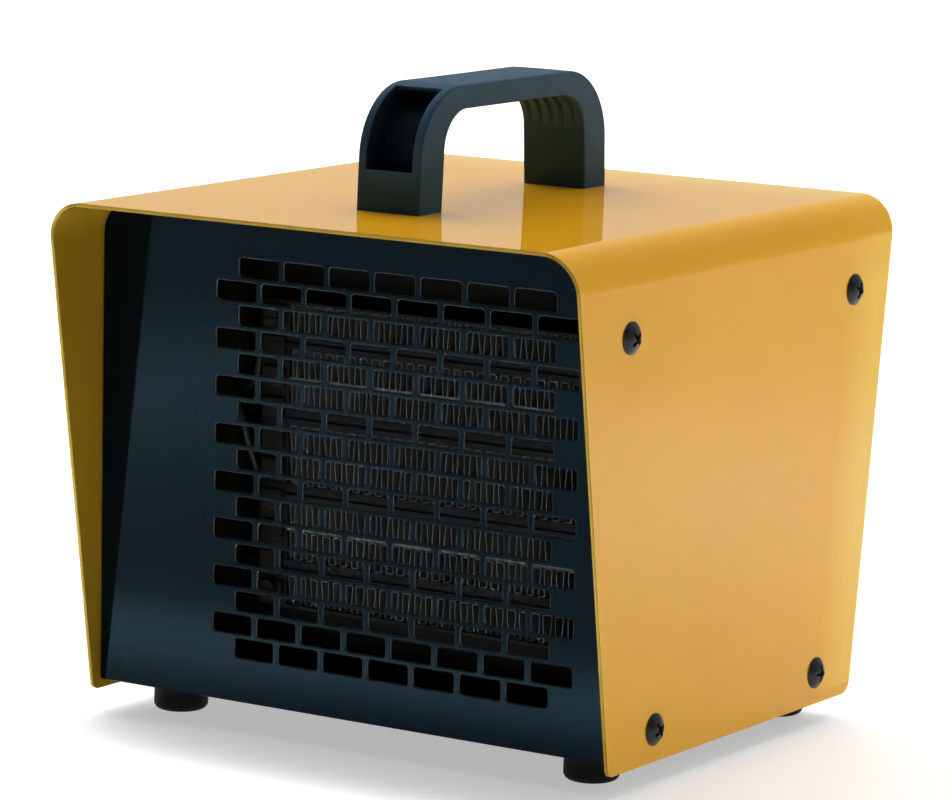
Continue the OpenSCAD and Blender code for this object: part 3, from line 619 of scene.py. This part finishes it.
# -------- handle
def make_handle():
    """One closed skin swept up the front leg, along the grip and down the rear leg.

    A station is a point on the outer outline, one on the inner, and how deep the pocket is there.
    """
    low, high = box_mm("handle")
    half, foot, top = high.x, low.z, high.z
    middle = (low.y + high.y) / 2
    leg, grip, lean, wall, skin = 14.0, 8.0, 1.7, 3.0, 2.3
    floor_half = 4  # how many points of a ring lie on each half of the pocket's floor
    pocket_low, pocket_high = foot + 13.7, top - 1.2

    def side(start, height, radius):
        return fillet((start, foot), (start + lean, height), (middle, height), radius, 18)

    outer_bend, inner_bend = side(low.y, top, 24.0), side(low.y + leg, top - grip, 13.0)
    outer_foot, inner_foot = Vector((low.y, foot)), Vector((low.y + leg, foot))
    stations = []

    def leg_station(height, depth, drop):
        """Level at the outer face, drop lower at the inner one."""
        t = (height - foot) / (outer_bend[0].y - foot)
        u = (height - drop - foot) / (inner_bend[0].y - foot)
        stations.append((outer_foot.lerp(outer_bend[0], t), inner_foot.lerp(inner_bend[0], u),
                         depth))

    def mirrored(point):
        return Vector((2 * middle - point.x, point.y))

    def between(start, end, shares, depths=()):
        """Stations on the way from one pair of points to another."""
        for n, share in enumerate(shares):
            stations.append((start[0].lerp(end[0], share), start[1].lerp(end[1], share),
                             depths[n] if depths else 0.0))

    for height, depth, drop in ((foot, 0.0, 0.0), (foot + 0.6, 0.0, 0.0), (foot + 6, 0.0, 1.2),
                                (pocket_low - 0.5, 0.0, 3.0), (pocket_low - 0.25, 0.05, 3.0),
                                (pocket_low, 1.0, 3.0), (pocket_low + 0.9, 1.0, 1.5)):
        leg_station(height, depth, drop)
    bend = list(zip(outer_bend, inner_bend))
    open_bend = [pair for pair in bend if pair[0].y <= pocket_high]
    closed_bend = bend[len(open_bend):]
    stations += [(*pair, 1.0) for pair in open_bend]
    mouth = len(stations) - 1
    # the pocket runs on under the grip's top skin: each entry is the cavity's (advance, height)
    # at its middle and at its edge
    reach, floor = 15.0, top - 5.9
    cavity = {1: ((reach, floor), (reach, top - skin)), 2: ((reach, top - skin),) * 2,
              3: ((0.7, top - skin),) * 2}
    edge_out = open_bend[-1][0]
    between(open_bend[-1], closed_bend[0], [n * 0.12 for n in range(1, 6)],
            (0.0, 0.0, 0.0, 0.12, 0.0))
    stations += [(*pair, 0.0) for pair in closed_bend]
    between(bend[-1], (Vector((middle, top)), Vector((middle, top - grip))), (0.25, 0.6, 1.0))
    front_count = len(stations)
    stations += [(mirrored(outer), mirrored(inner), 0.0) for outer, inner in bend[::-1]]
    between(stations[-1], (mirrored(outer_foot), mirrored(inner_foot)),
            (0.15, 0.3, 0.45, 0.6, 0.8, 1.0))

    radius, arc_steps = 1.0, 6
    arc = [(math.sin(a), 1 - math.cos(a))
           for a in (math.pi / 2 * k / arc_steps for k in range(arc_steps + 1))]

    def groove_depth(index, inner):
        """Finger grooves: deepest in the rear bend, gone a little way down the leg."""
        if index < front_count:
            return 0.0
        fall = (inner.y - (foot + 20.0)) / 14.0
        return 2.6 * max(0.0, min(1.0, fall)) * min(1.0, (index - front_count) / 4)

    def ring(index, outer, inner, depth):
        across = inner - outer
        thick = across.length
        across.normalize()
        recess = depth * (thick - wall)
        # half of the outer face, from the middle of the pocket's floor to its rim
        face = [(0.0, recess), (4.0, recess), (8.4, recess), (8.75, max(recess - 0.35, 0)),
                (8.8, min(recess, 0.5)), (8.92, min(recess, 0.16)), (9.2, 0.0), (9.4, 0.0)]
        corner = [(half - radius + radius * s, radius * c) for s, c in arc]
        inward = min(outer.x - edge_out.x, 2 * middle - edge_out.x - outer.x)
        crown = 0.25 * min(1.0, max(0.0, inward / 12))
        deep = groove_depth(index, inner)
        inside, steps, grooves, reach_x = [], 60, 5, 10.6
        for k in range(steps + 1):
            x = reach_x * (1 - 2 * k / steps)
            wave = max(0.0, math.cos(math.pi * grooves * (x / reach_x + 1) - math.pi)) ** 1.5
            inside.append((x, thick - deep * wave * (1 - (x / reach_x) ** 8)))
        right = [(x, w + (0.0 if w > 0.5 else crown * (x / half) ** 2)) for x, w in face + corner]
        right += [(half - radius + radius * (1 - c), thick - radius + radius * s)
                  for s, c in arc[:-1]]
        points = right + inside + [(-x, w) for x, w in right[:0:-1]]
        placed = [(x, outer.x + across.x * w, outer.y + across.y * w) for x, w in points]
        if index - mouth in cavity:
            centre, edge = cavity[index - mouth]
            for k in range(-floor_half, floor_half + 1):
                ahead, height = edge if abs(k) == floor_half else centre
                placed[k] = (placed[k][0], edge_out.x + ahead, height)
        return placed

    bm = bmesh.new()
    rings = [[bm.verts.new(p) for p in ring(n, *s)] for n, s in enumerate(stations)]
    pocket_rings = range(4, mouth + 4)  # from the pocket's sill to the end of its cavity
    for index, (first, second) in enumerate(zip(rings, rings[1:])):
        faces = bridge(bm, first, second, around=True)
        # the pocket's floor faces take the darker copy of the handle plastic: painted shade
        if index in pocket_rings:
            for face in faces[:floor_half] + faces[-floor_half:]:
                face.material_index = 1
    bm.faces.new(rings[0])
    bm.faces.new(rings[-1][::-1])
    face_out(bm)
    handle = finish_piece("carry_handle", bm, "handle_plastic", replaces=("handle",), sharp=42.0)
    handle.data.materials.append(MATERIAL["pocket_painted_shade"])


make_handle()


# -------- screws and feet
def smooth_step(value, low, high):
    t = min(1.0, max(0.0, (value - low) / (high - low)))
    return t * t * (3 - 2 * t)


def cross_head(bm, centre, side, turn):
    """A domed head with a tapered cross recess and its shank; side is the sign of X it faces."""
    radius, height, shank, shank_end = 5.2, 2.6, 1.95, -9.0
    arm_half, arm_reach, core_half = 0.55, 2.7, 1.0
    dome = (radius * radius + height * height) / (2 * height)
    sectors, rings = 96, 34
    angles = [TAU * k / sectors for k in range(sectors)]

    def vert(along, r, angle):
        return bm.verts.new((centre[0] + side * along, centre[1] + r * math.cos(angle),
                             centre[2] + r * math.sin(angle)))

    grid = []
    for r in (radius * n / rings for n in range(rings + 1)):
        ring = []
        for angle in angles if r else angles[:1]:
            u, v = abs(r * math.cos(angle - turn)), abs(r * math.sin(angle - turn))
            arms = min(max(u - arm_reach, v - arm_half), max(v - arm_reach, u - arm_half))
            core = max(u, v) - core_half
            cut = 1.5 * smooth_step(-arms, -0.12, 0.22) * (1 - 0.25 * r / arm_reach)
            if r < arm_reach:
                cut = max(cut, 1.7 * smooth_step(-core, -0.1, 0.4))
            rise = height - dome + math.sqrt(max(dome * dome - r * r, 0.0))
            ring.append(vert(max(rise - cut, 0.25), r, angle))
        grid.append(ring)
    for k in range(sectors):
        n = (k + 1) % sectors
        bm.faces.new((grid[0][0], grid[1][k], grid[1][n]))
        for a, b in zip(grid[1:], grid[2:]):
            bm.faces.new((a[k], b[k], b[n], a[n]))
    rim = grid[-1]
    for r, along in ((radius, 0.0), (shank, 0.0), (shank, shank_end)):
        ring = [vert(along, r, angle) for angle in angles]
        bridge(bm, rim, ring)
        rim = ring
    bm.faces.new(rim)
    face_out(bm)


def make_side_screws():
    half = box_mm("cover")[1].x
    places = ((-68.0, 143.5), (73.0, 143.5), (-48.0, 18.0), (55.0, 18.0))
    turns = (0.5, 0.9, 0.25, 1.2)
    for side, name in ((-1, "left"), (1, "right")):
        bm = bmesh.new()
        for (y, z), turn in zip(places, turns):
            cross_head(bm, (side * half, y, z), side, turn + 0.3 * side)
        finish_piece(f"side_screws_{name}", bm, "black_screw",
                     replaces=(f"cover_screws_{name}",), sharp=50.0)


def make_feet():
    for name in ("front_left", "front_right", "rear_left", "rear_right"):
        low, high = box_mm(f"foot_{name}")
        radius, top = (high.x - low.x) / 2, high.z
        centre = ((low.x + high.x) / 2, (low.y + high.y) / 2, 0)
        edge = 2.4
        curve = [(radius - edge + edge * math.cos(a), edge + edge * math.sin(a))
                 for a in (math.radians(-90 + 15 * k) for k in range(7))]
        # from the screw's pocket over the ring it stands on, up its side, and down the bore
        profile = [(4.8, 4.5), (4.8, 0.4), (5.2, 0.0), (6.2, 0.0), (6.35, 0.5), (6.8, 0.5),
                   (6.95, 0.0), *curve]
        profile += [(radius - inset, z) for inset, z in (
            (0.05, 5.2), (0.15, 5.35), (0.15, 5.65), (0.06, 5.8), (0.5, top - 0.6), (1.1, top))]
        profile += [(2.2, top), (2.2, 4.5)]
        bm = bmesh.new()
        revolve(bm, centre, 2, profile, 72, closed=True)
        finish_piece(f"rubber_foot_{name}", bm, "foot_rubber",
                     replaces=(f"foot_{name}",), sharp=50.0)


make_side_screws()
make_feet()


# -------- heater
def wave_path(x0, x1, z0, z1, count, rng):
    """A folded strip: count fins that lean to and fro a little, as a list of (x, z).

    Two rounds of corner cutting round its folds.
    """
    pitch = (x1 - x0) / count
    rough = []
    for k in range(count):
        x = x0 + pitch * (k + 0.5) + rng.uniform(-0.08, 0.08) * pitch
        lean = (0.13 if k % 2 else -0.13) * pitch + rng.uniform(-0.10, 0.10) * pitch
        ends = [(x - lean, z0), (x - lean * 0.8, z0 + 0.9),
                (x + lean * 0.8, z1 - 0.9), (x + lean, z1)]
        rough += ends if k % 2 == 0 else ends[::-1]
    for _ in range(2):
        smooth = [rough[0]]
        for a, b in zip(rough, rough[1:]):
            smooth.append((0.75 * a[0] + 0.25 * b[0], 0.75 * a[1] + 0.25 * b[1]))
            smooth.append((0.25 * a[0] + 0.75 * b[0], 0.25 * a[1] + 0.75 * b[1]))
        rough = smooth + [rough[-1]]
    return rough


def foil_strip(bm, low, high, rng):
    """Foil on a wave path; its front edge wanders a little."""
    path = wave_path(low[0] + 0.4, high[0] - 0.4, low[2] + 0.1, high[2] - 0.1, 50, rng)
    half_thick, back = 0.11, high[1] - 0.1
    rings = []
    for n, (x, z) in enumerate(path):
        before, after = Vector(path[max(n - 1, 0)]), Vector(path[min(n + 1, len(path) - 1)])
        along = (after - before).normalized()
        sx, sz = -along.y * half_thick, along.x * half_thick
        front = low[1] + 0.35 + 0.25 * math.sin(n * 0.21 + rng.uniform(0, 0.3))
        rings.append([bm.verts.new(p) for p in (
            (x + sx, front, z + sz), (x - sx, front, z - sz),
            (x - sx, back, z - sz), (x + sx, back, z + sz))])
    for first, second in zip(rings, rings[1:]):
        bridge(bm, first, second)
    bm.faces.new(rings[0])
    bm.faces.new(rings[-1][::-1])


def make_fins():
    for number in range(1, 6):
        node = f"fin_pack_{number}"
        low, high = box_mm(node)
        rng = random.Random(100 + number)
        bm = bmesh.new()
        if number in (1, 5):
            foil_strip(bm, low, high, rng)
        else:
            middle, half = (low.z + high.z) / 2, 0.4
            foil_strip(bm, low, (high.x, high.y, middle - half), rng)
            foil_strip(bm, (low.x, low.y, middle + half), high, rng)
            block(bm, (low.x, low.y + 1.2, middle - half), (high.x, high.y, middle + half))
        face_out(bm)
        # the fins take the dark grey fin aluminium: painted shade for the dim inside of the heater
        finish_piece(f"fin_strip_{number}", bm, "fin_aluminium", replaces=(node,), sharp=40.0)


def make_bars():
    for number in range(1, 5):
        node = f"ptc_bar_{number}"
        low, high = box_mm(node)
        middle, half = (low.z + high.z) / 2, (high.z - low.z) / 2
        # extruded tube: a flat nose with a seam between two flanges on each edge
        seam, deep = 0.5, 0.7
        outline = [(low.y, -half), (high.y, -half), (high.y, -seam), (high.y - deep, -seam),
                   (high.y - deep, seam), (high.y, seam), (high.y, half), (low.y, half),
                   (low.y, seam), (low.y + deep, seam), (low.y + deep, -seam), (low.y, -seam)]
        bm = bmesh.new()
        prism(bm, [(y, middle + z) for y, z in outline], 0, low.x, high.x)
        # the bars take the near-black bar metal: painted shade for the dark inside of the heater
        finish_piece(f"heater_bar_{number}", bm, "bar_metal", replaces=(node,), bevel=0.3)


def make_heater_frame():
    for side in ("left", "right"):
        node = f"heater_end_{side}"
        low, high = box_mm(node)
        bm = bmesh.new()
        block(bm, (low.x, low.y + 1.6, low.z), high)
        # ribs across the front face, one beside each strip of fins
        ribs, rib_half = 10, 3.2
        for k in range(ribs):
            z = low.z + (high.z - low.z) * (k + 0.5) / ribs
            block(bm, (low.x + 1.2, low.y, z - rib_half), (high.x - 1.2, low.y + 1.7, z + rib_half))
        finish_piece(f"heater_frame_{side}", bm, "frame_plastic", replaces=(node,), bevel=0.5)
    for side in ("top", "bottom"):
        node = f"heater_rail_{side}"
        low, high = box_mm(node)
        bm = bmesh.new()
        near, far = (low.z, high.z) if side == "top" else (high.z, low.z)
        groove = far - math.copysign(0.5, far - near)
        outline = [(low.y, near), (low.y, far), (low.y + 2, far), (low.y + 2.6, groove),
                   (high.y - 2.6, groove), (high.y - 2, far), (high.y, far), (high.y, near)]
        prism(bm, outline, 0, low.x, high.x)
        # the rails take the near-black bar metal: painted shade for the dark inside of the heater
        finish_piece(f"heater_channel_{side}", bm, "bar_metal", slot="fin_aluminium",
                     replaces=(node,), bevel=0.2)


make_fins()
make_bars()
make_heater_frame()


# -------- fan and motor
def make_fan():
    low, high = box_mm("fan_blade")
    outer, hub = 55.5, 17.0
    front, back = low.y, high.y
    centre_y = (front + back) / 2
    bm = bmesh.new()
    # hub: a cup open towards the motor, with a round nose and a bored boss
    profile = [(r, front + y) for r, y in ((2.6, 3.2), (2.6, 0), (5.0, 0), (12.5, 0), (15.6, 0.7),
                                           (hub, 2.6))]
    profile += [(hub, back - 0.4), (hub - 0.4, back), (hub - 1.6, back), (hub - 2, back - 0.4)]
    profile += [(r, front + y) for r, y in ((hub - 2, 4), (hub - 3.4, 2.6), (6.6, 2.6), (5.5, 3.6))]
    profile += [(5.5, back - 3), (5.0, back - 2.5), (2.6, back - 2.5)]
    revolve(bm, (AXIS_X, 0, AXIS_Z), 1, profile, 96, closed=True)

    chord_steps, span_steps = 12, 12

    def blade_point(turn, face, t, u):
        """A point at t of the span and u (-0.5 to 0.5) of the chord, on one face of a blade."""
        bow = 1 - (2 * u) ** 2
        r = (hub - 0.6) + (outer - hub + 0.5) * t
        chord, pitch = 20.0 + 11.0 * t, math.radians(40.0 - 9.0 * t)
        across = u * chord * (1 - 0.10 * (2 * u) ** 2 * t)
        radius = r if t < 1 else r * (1 - 0.02 * (2 * u) ** 2)
        thick = 0.35 + 0.55 * math.sqrt(max(0.0, bow)) * (1 - 0.35 * t)
        camber = 2.2 * bow
        rise = camber * 0.5 + face * thick
        tangent = -math.cos(pitch) * across + math.sin(pitch) * rise
        along = math.sin(pitch) * across + math.cos(pitch) * rise
        along = max(front + 0.1, min(back - 0.1, centre_y + along - 0.6))
        angle = turn + tangent / max(r, hub)
        return (AXIS_X + radius * math.sin(angle), along, AXIS_Z + radius * math.cos(angle))

    blades = 7
    for blade in range(blades):
        top, bottom = [[[bm.verts.new(blade_point(TAU * blade / blades, face, i / span_steps,
                                                  j / chord_steps - 0.5))
                         for j in range(chord_steps + 1)] for i in range(span_steps + 1)]
                       for face in (1, -1)]
        for i in range(span_steps):
            for j in range(chord_steps):
                bm.faces.new((top[i][j], top[i][j + 1], top[i + 1][j + 1], top[i + 1][j]))
                bm.faces.new((bottom[i][j], bottom[i + 1][j], bottom[i + 1][j + 1],
                              bottom[i][j + 1]))
            for j in (0, chord_steps):
                bm.faces.new((top[i][j], top[i + 1][j], bottom[i + 1][j], bottom[i][j]))
        for j in range(chord_steps):
            for i in (0, span_steps):
                bm.faces.new((top[i][j], top[i][j + 1], bottom[i][j + 1], bottom[i][j]))
    face_out(bm)
    finish_piece("axial_fan", bm, "fan_plastic", "fan", replaces=("fan_blade",), sharp=48.0)


def make_coil():
    """The winding: a former's block wrapped in single turns of enamelled wire."""
    low, high = box_mm("motor_coil")
    wire, sides = 0.85, 8
    width, deep, tall = high.x - low.x - 1.0, high.y - low.y, high.z - low.z
    centre = ((low.y + high.y) / 2, (low.z + high.z) / 2)
    bm = bmesh.new()
    turns = int(width / (2 * wire))
    loop = rounded_box(deep - 2 * wire, tall - 2 * wire, 6.0, 6, centre)
    for turn in range(turns):
        x = low.x + 0.5 + wire + turn * (width - 2 * wire) / (turns - 1)
        rings = []
        for i, (y, z) in enumerate(loop):
            before, after = Vector(loop[i - 1]), Vector(loop[(i + 1) % len(loop)])
            along = (after - before).normalized()
            ring = []
            for angle in (TAU * k / sides for k in range(sides)):
                out = wire * math.sin(angle)
                ring.append(bm.verts.new((x + wire * math.cos(angle), y + out * along.y,
                                          z + out * -along.x)))
            rings.append(ring)
        for first, second in zip(rings, rings[1:] + rings[:1]):
            bridge(bm, first, second, around=True)
    inner = rounded_box(deep - 2.6, tall - 2.6, 5.0, 6, centre)
    hole = rounded_box(18.3, 13.3, 0.4, 6, centre)
    rings = [[bm.verts.new((x, y, z)) for y, z in outline] for x in (low.x + 0.3, high.x - 0.3)
             for outline in (inner, hole)]
    count = len(inner)
    for k in range(count):
        n = (k + 1) % count
        for a, b in ((0, 1), (2, 3), (0, 2), (1, 3)):
            bm.faces.new((rings[a][k], rings[a][n], rings[b][n], rings[b][k]))
    face_out(bm)
    finish_piece("motor_winding", bm, "coil_wire", slot="copper", replaces=("motor_coil",),
                 sharp=60.0)


make_fan()
make_coil()


# -------- controls
def make_knob(name, body):
    """A fluted knob with a ridge on its flange, and the white line printed on the ridge."""
    z = CONTROLS[name]
    low, high = box_mm(f"{name}_knob")
    base, tip = low.y, high.y - 0.6
    flange, grip, flute = 15.5, 11.5, 1.25

    def shape(angle, radius, along):
        if along < base + 3.3 or radius < 6:
            return radius
        # a flute every 30 degrees, but for the pointer's place at the top
        a = (math.degrees(angle) - 90) % 360
        nearest = min(range(1, 12), key=lambda k: abs(a - 30 * k))
        offset = math.radians(a - 30 * nearest) * grip
        depth = flute * math.exp(-(offset / flute) ** 2)
        return radius - depth * min(1.0, (radius - 6) / 5)

    profile = [(r, base + y) for r, y in (
        (3.05, 3.1), (6.2, 3.0), (6.2, 0), (flange - 0.5, 0), (flange, 0.5), (flange, 2.0),
        (flange - 0.35, 2.6), (flange - 1.0, 2.9), (grip + 0.9, 3.0), (grip + 0.2, 3.35),
        (grip, 4.2))]
    profile += [(r, tip - y) for r, y in (
        (grip - 0.25, 1.6), (grip - 0.5, 0.7), (grip - 1.1, 0.15), (grip - 2.0, 0),
        (grip - 3.6, 0), (grip - 4.2, 0.35), (5.0, 0.35), (2.0, 0.33), (0, 0.32))]
    bm = bmesh.new()
    revolve(bm, (CONTROL_X, 0, z), 1, profile, 180, shape)
    ridge = bmesh.new()
    block(ridge, (CONTROL_X - 1.0, base + 2.6, z + 5.6),
          (CONTROL_X + 1.0, high.y - 0.05, z + flange - 1.0))
    bmesh.ops.bevel(ridge, geom=list(ridge.edges), offset=0.45, segments=3, profile=0.5,
                    affect="EDGES", clamp_overlap=True)
    mesh = bpy.data.meshes.new("ridge")
    ridge.to_mesh(mesh)
    ridge.free()
    bm.from_mesh(mesh)
    bpy.data.meshes.remove(mesh)
    finish_piece(f"{name}_dial", bm, "knob_plastic", body, replaces=(f"{name}_knob",), sharp=38.0)
    line = bmesh.new()
    block(line, (CONTROL_X - 0.4, high.y - 0.2, z + 6.4),
          (CONTROL_X + 0.4, high.y, z + flange - 1.7))
    finish_piece(f"{name}_dial_line", line, "print_white", body, bevel=0.06, segments=1)


def make_scale(name, start, end, marks, growing):
    """Printed marks round a dial; angles run clockwise from the top as seen from behind."""
    z, face = CONTROLS[name], box_mm("rear_panel")[1].y
    radius = 17.7
    bm = bmesh.new()
    for k in range(marks):
        t = k / (marks - 1)
        angle = math.radians(start + (end - start) * t)
        half_long = 0.55 if k % 2 and growing else 0.95
        half_wide = 0.25 + (0.45 * t if growing else 0.15)
        # seen from behind, clockwise from the top is towards -X
        out = Vector((-math.sin(angle), math.cos(angle)))
        across = Vector((out.y, -out.x))
        centre = Vector((CONTROL_X, z)) + out * radius
        corners = [centre + out * (a * half_long) + across * (b * half_wide)
                   for a, b in ((-1, -1), (1, -1), (1, 1), (-1, 1))]
        prism(bm, [(c.x, c.y) for c in corners], 1, face - 0.01, face + 0.07)
    finish_piece(f"{name}_scale", bm, "print_white", bevel=0.03, segments=1)


def make_gland():
    face = box_mm("rear_panel")[1].y
    centre = (CONTROL_X, 0, CONTROLS["gland"])

    def hexagon(angle, radius, along):
        apothem = 9.1
        a = (angle + math.pi / 6) % (math.pi / 3) - math.pi / 6
        return min(radius, apothem / math.cos(a))

    def knurl(angle, radius, along):
        if along < face + 6.5 or along > face + 12.4 or radius < 7:
            return radius
        return radius - 0.45 * max(0.0, math.cos(12 * angle)) ** 4

    body = ((3.75, -13), (6.9, -13), (7.0, -12.6), (7.0, -0.2), (9.4, 0), (10.5, 0.5),
            (10.5, 4.3), (9.4, 5.0), (8.0, 5.0))
    cap = ((8.0, 5.0), (8.3, 5.2), (8.6, 5.7), (8.6, 6.6), (8.6, 9.0), (8.6, 11.4), (8.2, 12.4),
           (7.3, 13.9), (6.3, 15.3), (5.6, 15.9), (5.0, 16.0), (4.4, 15.8), (4.1, 15.0),
           (3.75, 13.6), (3.75, -13))
    bm = bmesh.new()
    for profile, shape in ((body, hexagon), (cap, knurl)):
        revolve(bm, centre, 1, [(r, face + y) for r, y in profile], 96, shape)
    bmesh.ops.remove_doubles(bm, verts=bm.verts, dist=0.002)
    finish_piece("cable_inlet_gland", bm, "gland_plastic", replaces=("cable_gland",), sharp=38.0)


make_knob("thermostat", "thermostat_dial")
make_knob("selector", "selector_dial")
make_scale("thermostat", -135, 135, 13, True)
make_scale("selector", 0, 135, 4, False)
make_gland()


# -------- inner wires
def make_wires():
    routes = {
        "wire_heater_low": [
            (-51, -50, 127.4), (-51, -50, 122), (-53, -49, 114), (-58, -48, 109), (-64, -44, 107),
            (-72, -24, 102), (-78, 8, 96), (-78, 30, 92), (-78, 48.3, 90)],
        "wire_heater_high": [
            (-51, -50, 79.3), (-51, -51.5, 84), (-52, -55, 93), (-54, -56, 101),
            (-58, -55, 107.5), (-64, -50, 106), (-72, -30, 96), (-76, 0, 90), (-82, 30, 86),
            (-82, 48.3, 84)],
        "wire_motor": [
            (3.1, 39, 136.6), (-4, 38, 138), (-20, 36, 138), (-36, 36, 130), (-48, 40, 112),
            (-54, 43, 102), (-58, 44, 100), (-63, 42, 98), (-67, 44, 95), (-68, 48.3, 94)],
    }
    for node, route in routes.items():
        bm = bmesh.new()
        tube(bm, spline(route), 1.3)
        # the leads take the near-black insulation: painted shade for the dark inside of the heater
        finish_piece(node.replace("wire_", "lead_"), bm, "wire_insulation", replaces=(node,),
                     sharp=60.0)


make_wires()


# -------- CAD nodes that stay
def dress_cad_nodes():
    """The exact solids whose shape is right keep it and get a material; the heater's baffle,
    divider, screws and terminals get near-black ones, painted shade for the dark inside of the
    heater.
    """
    replaced = {n for o in bpy.context.scene.objects for n in (o.get("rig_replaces") or [])}
    # motor_core gets laminated steel; the baffle, divider, heater screws and terminals get
    # near-black materials: painted shade for the dark inside
    special = {"motor_core": "core_steel", "heater_baffle": "frame_plastic",
               "divider": "frame_plastic", "heater_screws": "frame_plastic",
               "heater_terminals": "bar_metal"}
    for name, obj in frame["nodes"].items():
        if name not in replaced:
            obj.data.materials.clear()
            obj.data.materials.append(MATERIAL[special.get(name, NODE_SLOT[name])])


dress_cad_nodes()


# -------- stage and light
def make_stage():
    """A wide pale floor that glows a little, so that it stays near white."""
    f = Finish("studio_floor", Specular_IOR_Level=0.2, Emission_Color=(1, 1, 1, 1),
               Emission_Strength=0.45)
    f.colour(f.ramp(f.noise(3.0, 3.0), (0.3, (0.74, 0.74, 0.74)), (0.7, (0.76, 0.76, 0.76))))
    f.roughness(f.spread(f.noise(12.0), 0.7, 0.8))
    bm = bmesh.new()
    bmesh.ops.create_grid(bm, x_segments=2, y_segments=2, size=20.0)
    mesh = bpy.data.meshes.new("floor")
    bm.to_mesh(mesh)
    bm.free()
    mesh.materials.append(f.material)
    add_object("floor", mesh)


def area_light(name, place, aim, size, power, spread):
    """A soft box that doesn't show in glossy surfaces; a narrow spread throws a pool of light."""
    data = bpy.data.lights.new(name, "AREA")
    data.shape = "RECTANGLE"
    data.size, data.size_y = size
    data.energy = power
    data.spread = math.radians(spread)
    light = add_object(name, data)
    light.visible_glossy = False
    place, aim = Vector(place), Vector(aim)
    turn = (aim - place).to_track_quat("-Z", "Y").to_matrix().to_4x4()
    light.matrix_world = Matrix.Translation(place) @ turn


def make_world():
    """A soft room: bright behind (+Y) and dim in front."""
    world = bpy.data.worlds.new("studio")
    world.use_nodes = True
    tree = world.node_tree
    background = tree.nodes["Background"]
    coordinate = tree.nodes.new("ShaderNodeTexCoord")
    split = tree.nodes.new("ShaderNodeSeparateXYZ")
    tree.links.new(coordinate.outputs["Generated"], split.inputs["Vector"])
    level = tree.nodes.new("ShaderNodeMapRange")
    level.interpolation_type = "SMOOTHSTEP"
    set_inputs(level, From_Min=-0.6, From_Max=0.6, To_Min=0.04, To_Max=0.51)
    tree.links.new(split.outputs["Y"], level.inputs["Value"])
    tree.links.new(level.outputs["Result"], background.inputs["Strength"])
    set_inputs(background, Color=(0.93, 0.97, 1.0, 1))
    bpy.context.scene.world = world


make_stage()
make_world()
# name, place, what it aims at, size (all in metres), power in watts, spread in degrees
for light_row in (
        ("over", (-0.6, 0.6, 1.2), (-0.3, 0.1, 0), (2.4, 2.0), 30, 180.0),
        ("left", (-1.4, 0.5, 1.1), (0.0, 0.0, 0.15), (1.6, 1.2), 12, 180.0),
        ("rear_right", (1.3, 1.5, 0.9), (0.0, 0.0, 0.1), (1.2, 1.2), 2.1, 180.0),
        ("pool", (0.36, 0.42, 0.9), (0.361, 0.42, 0.0), (0.3, 0.3), 0.75, 43.0),
        ("near_floor", (-0.06, -0.20, 0.30), (-0.06, -0.18, 0.0), (0.36, 0.06), 0.34, 24.0),
        ("left_floor", (-0.52, -0.62, 0.8), (-0.52, -0.60, 0.0), (0.25, 0.25), 1.1, 42.0),
        ("behind", (-1.6, 2.6, 2.4), (-1.5, 2.5, 0), (3.0, 3.0), 40, 95.0)):
    area_light(*light_row)
bpy.context.scene.view_settings.view_transform = "Standard"
bpy.context.scene.view_settings.look = "None"
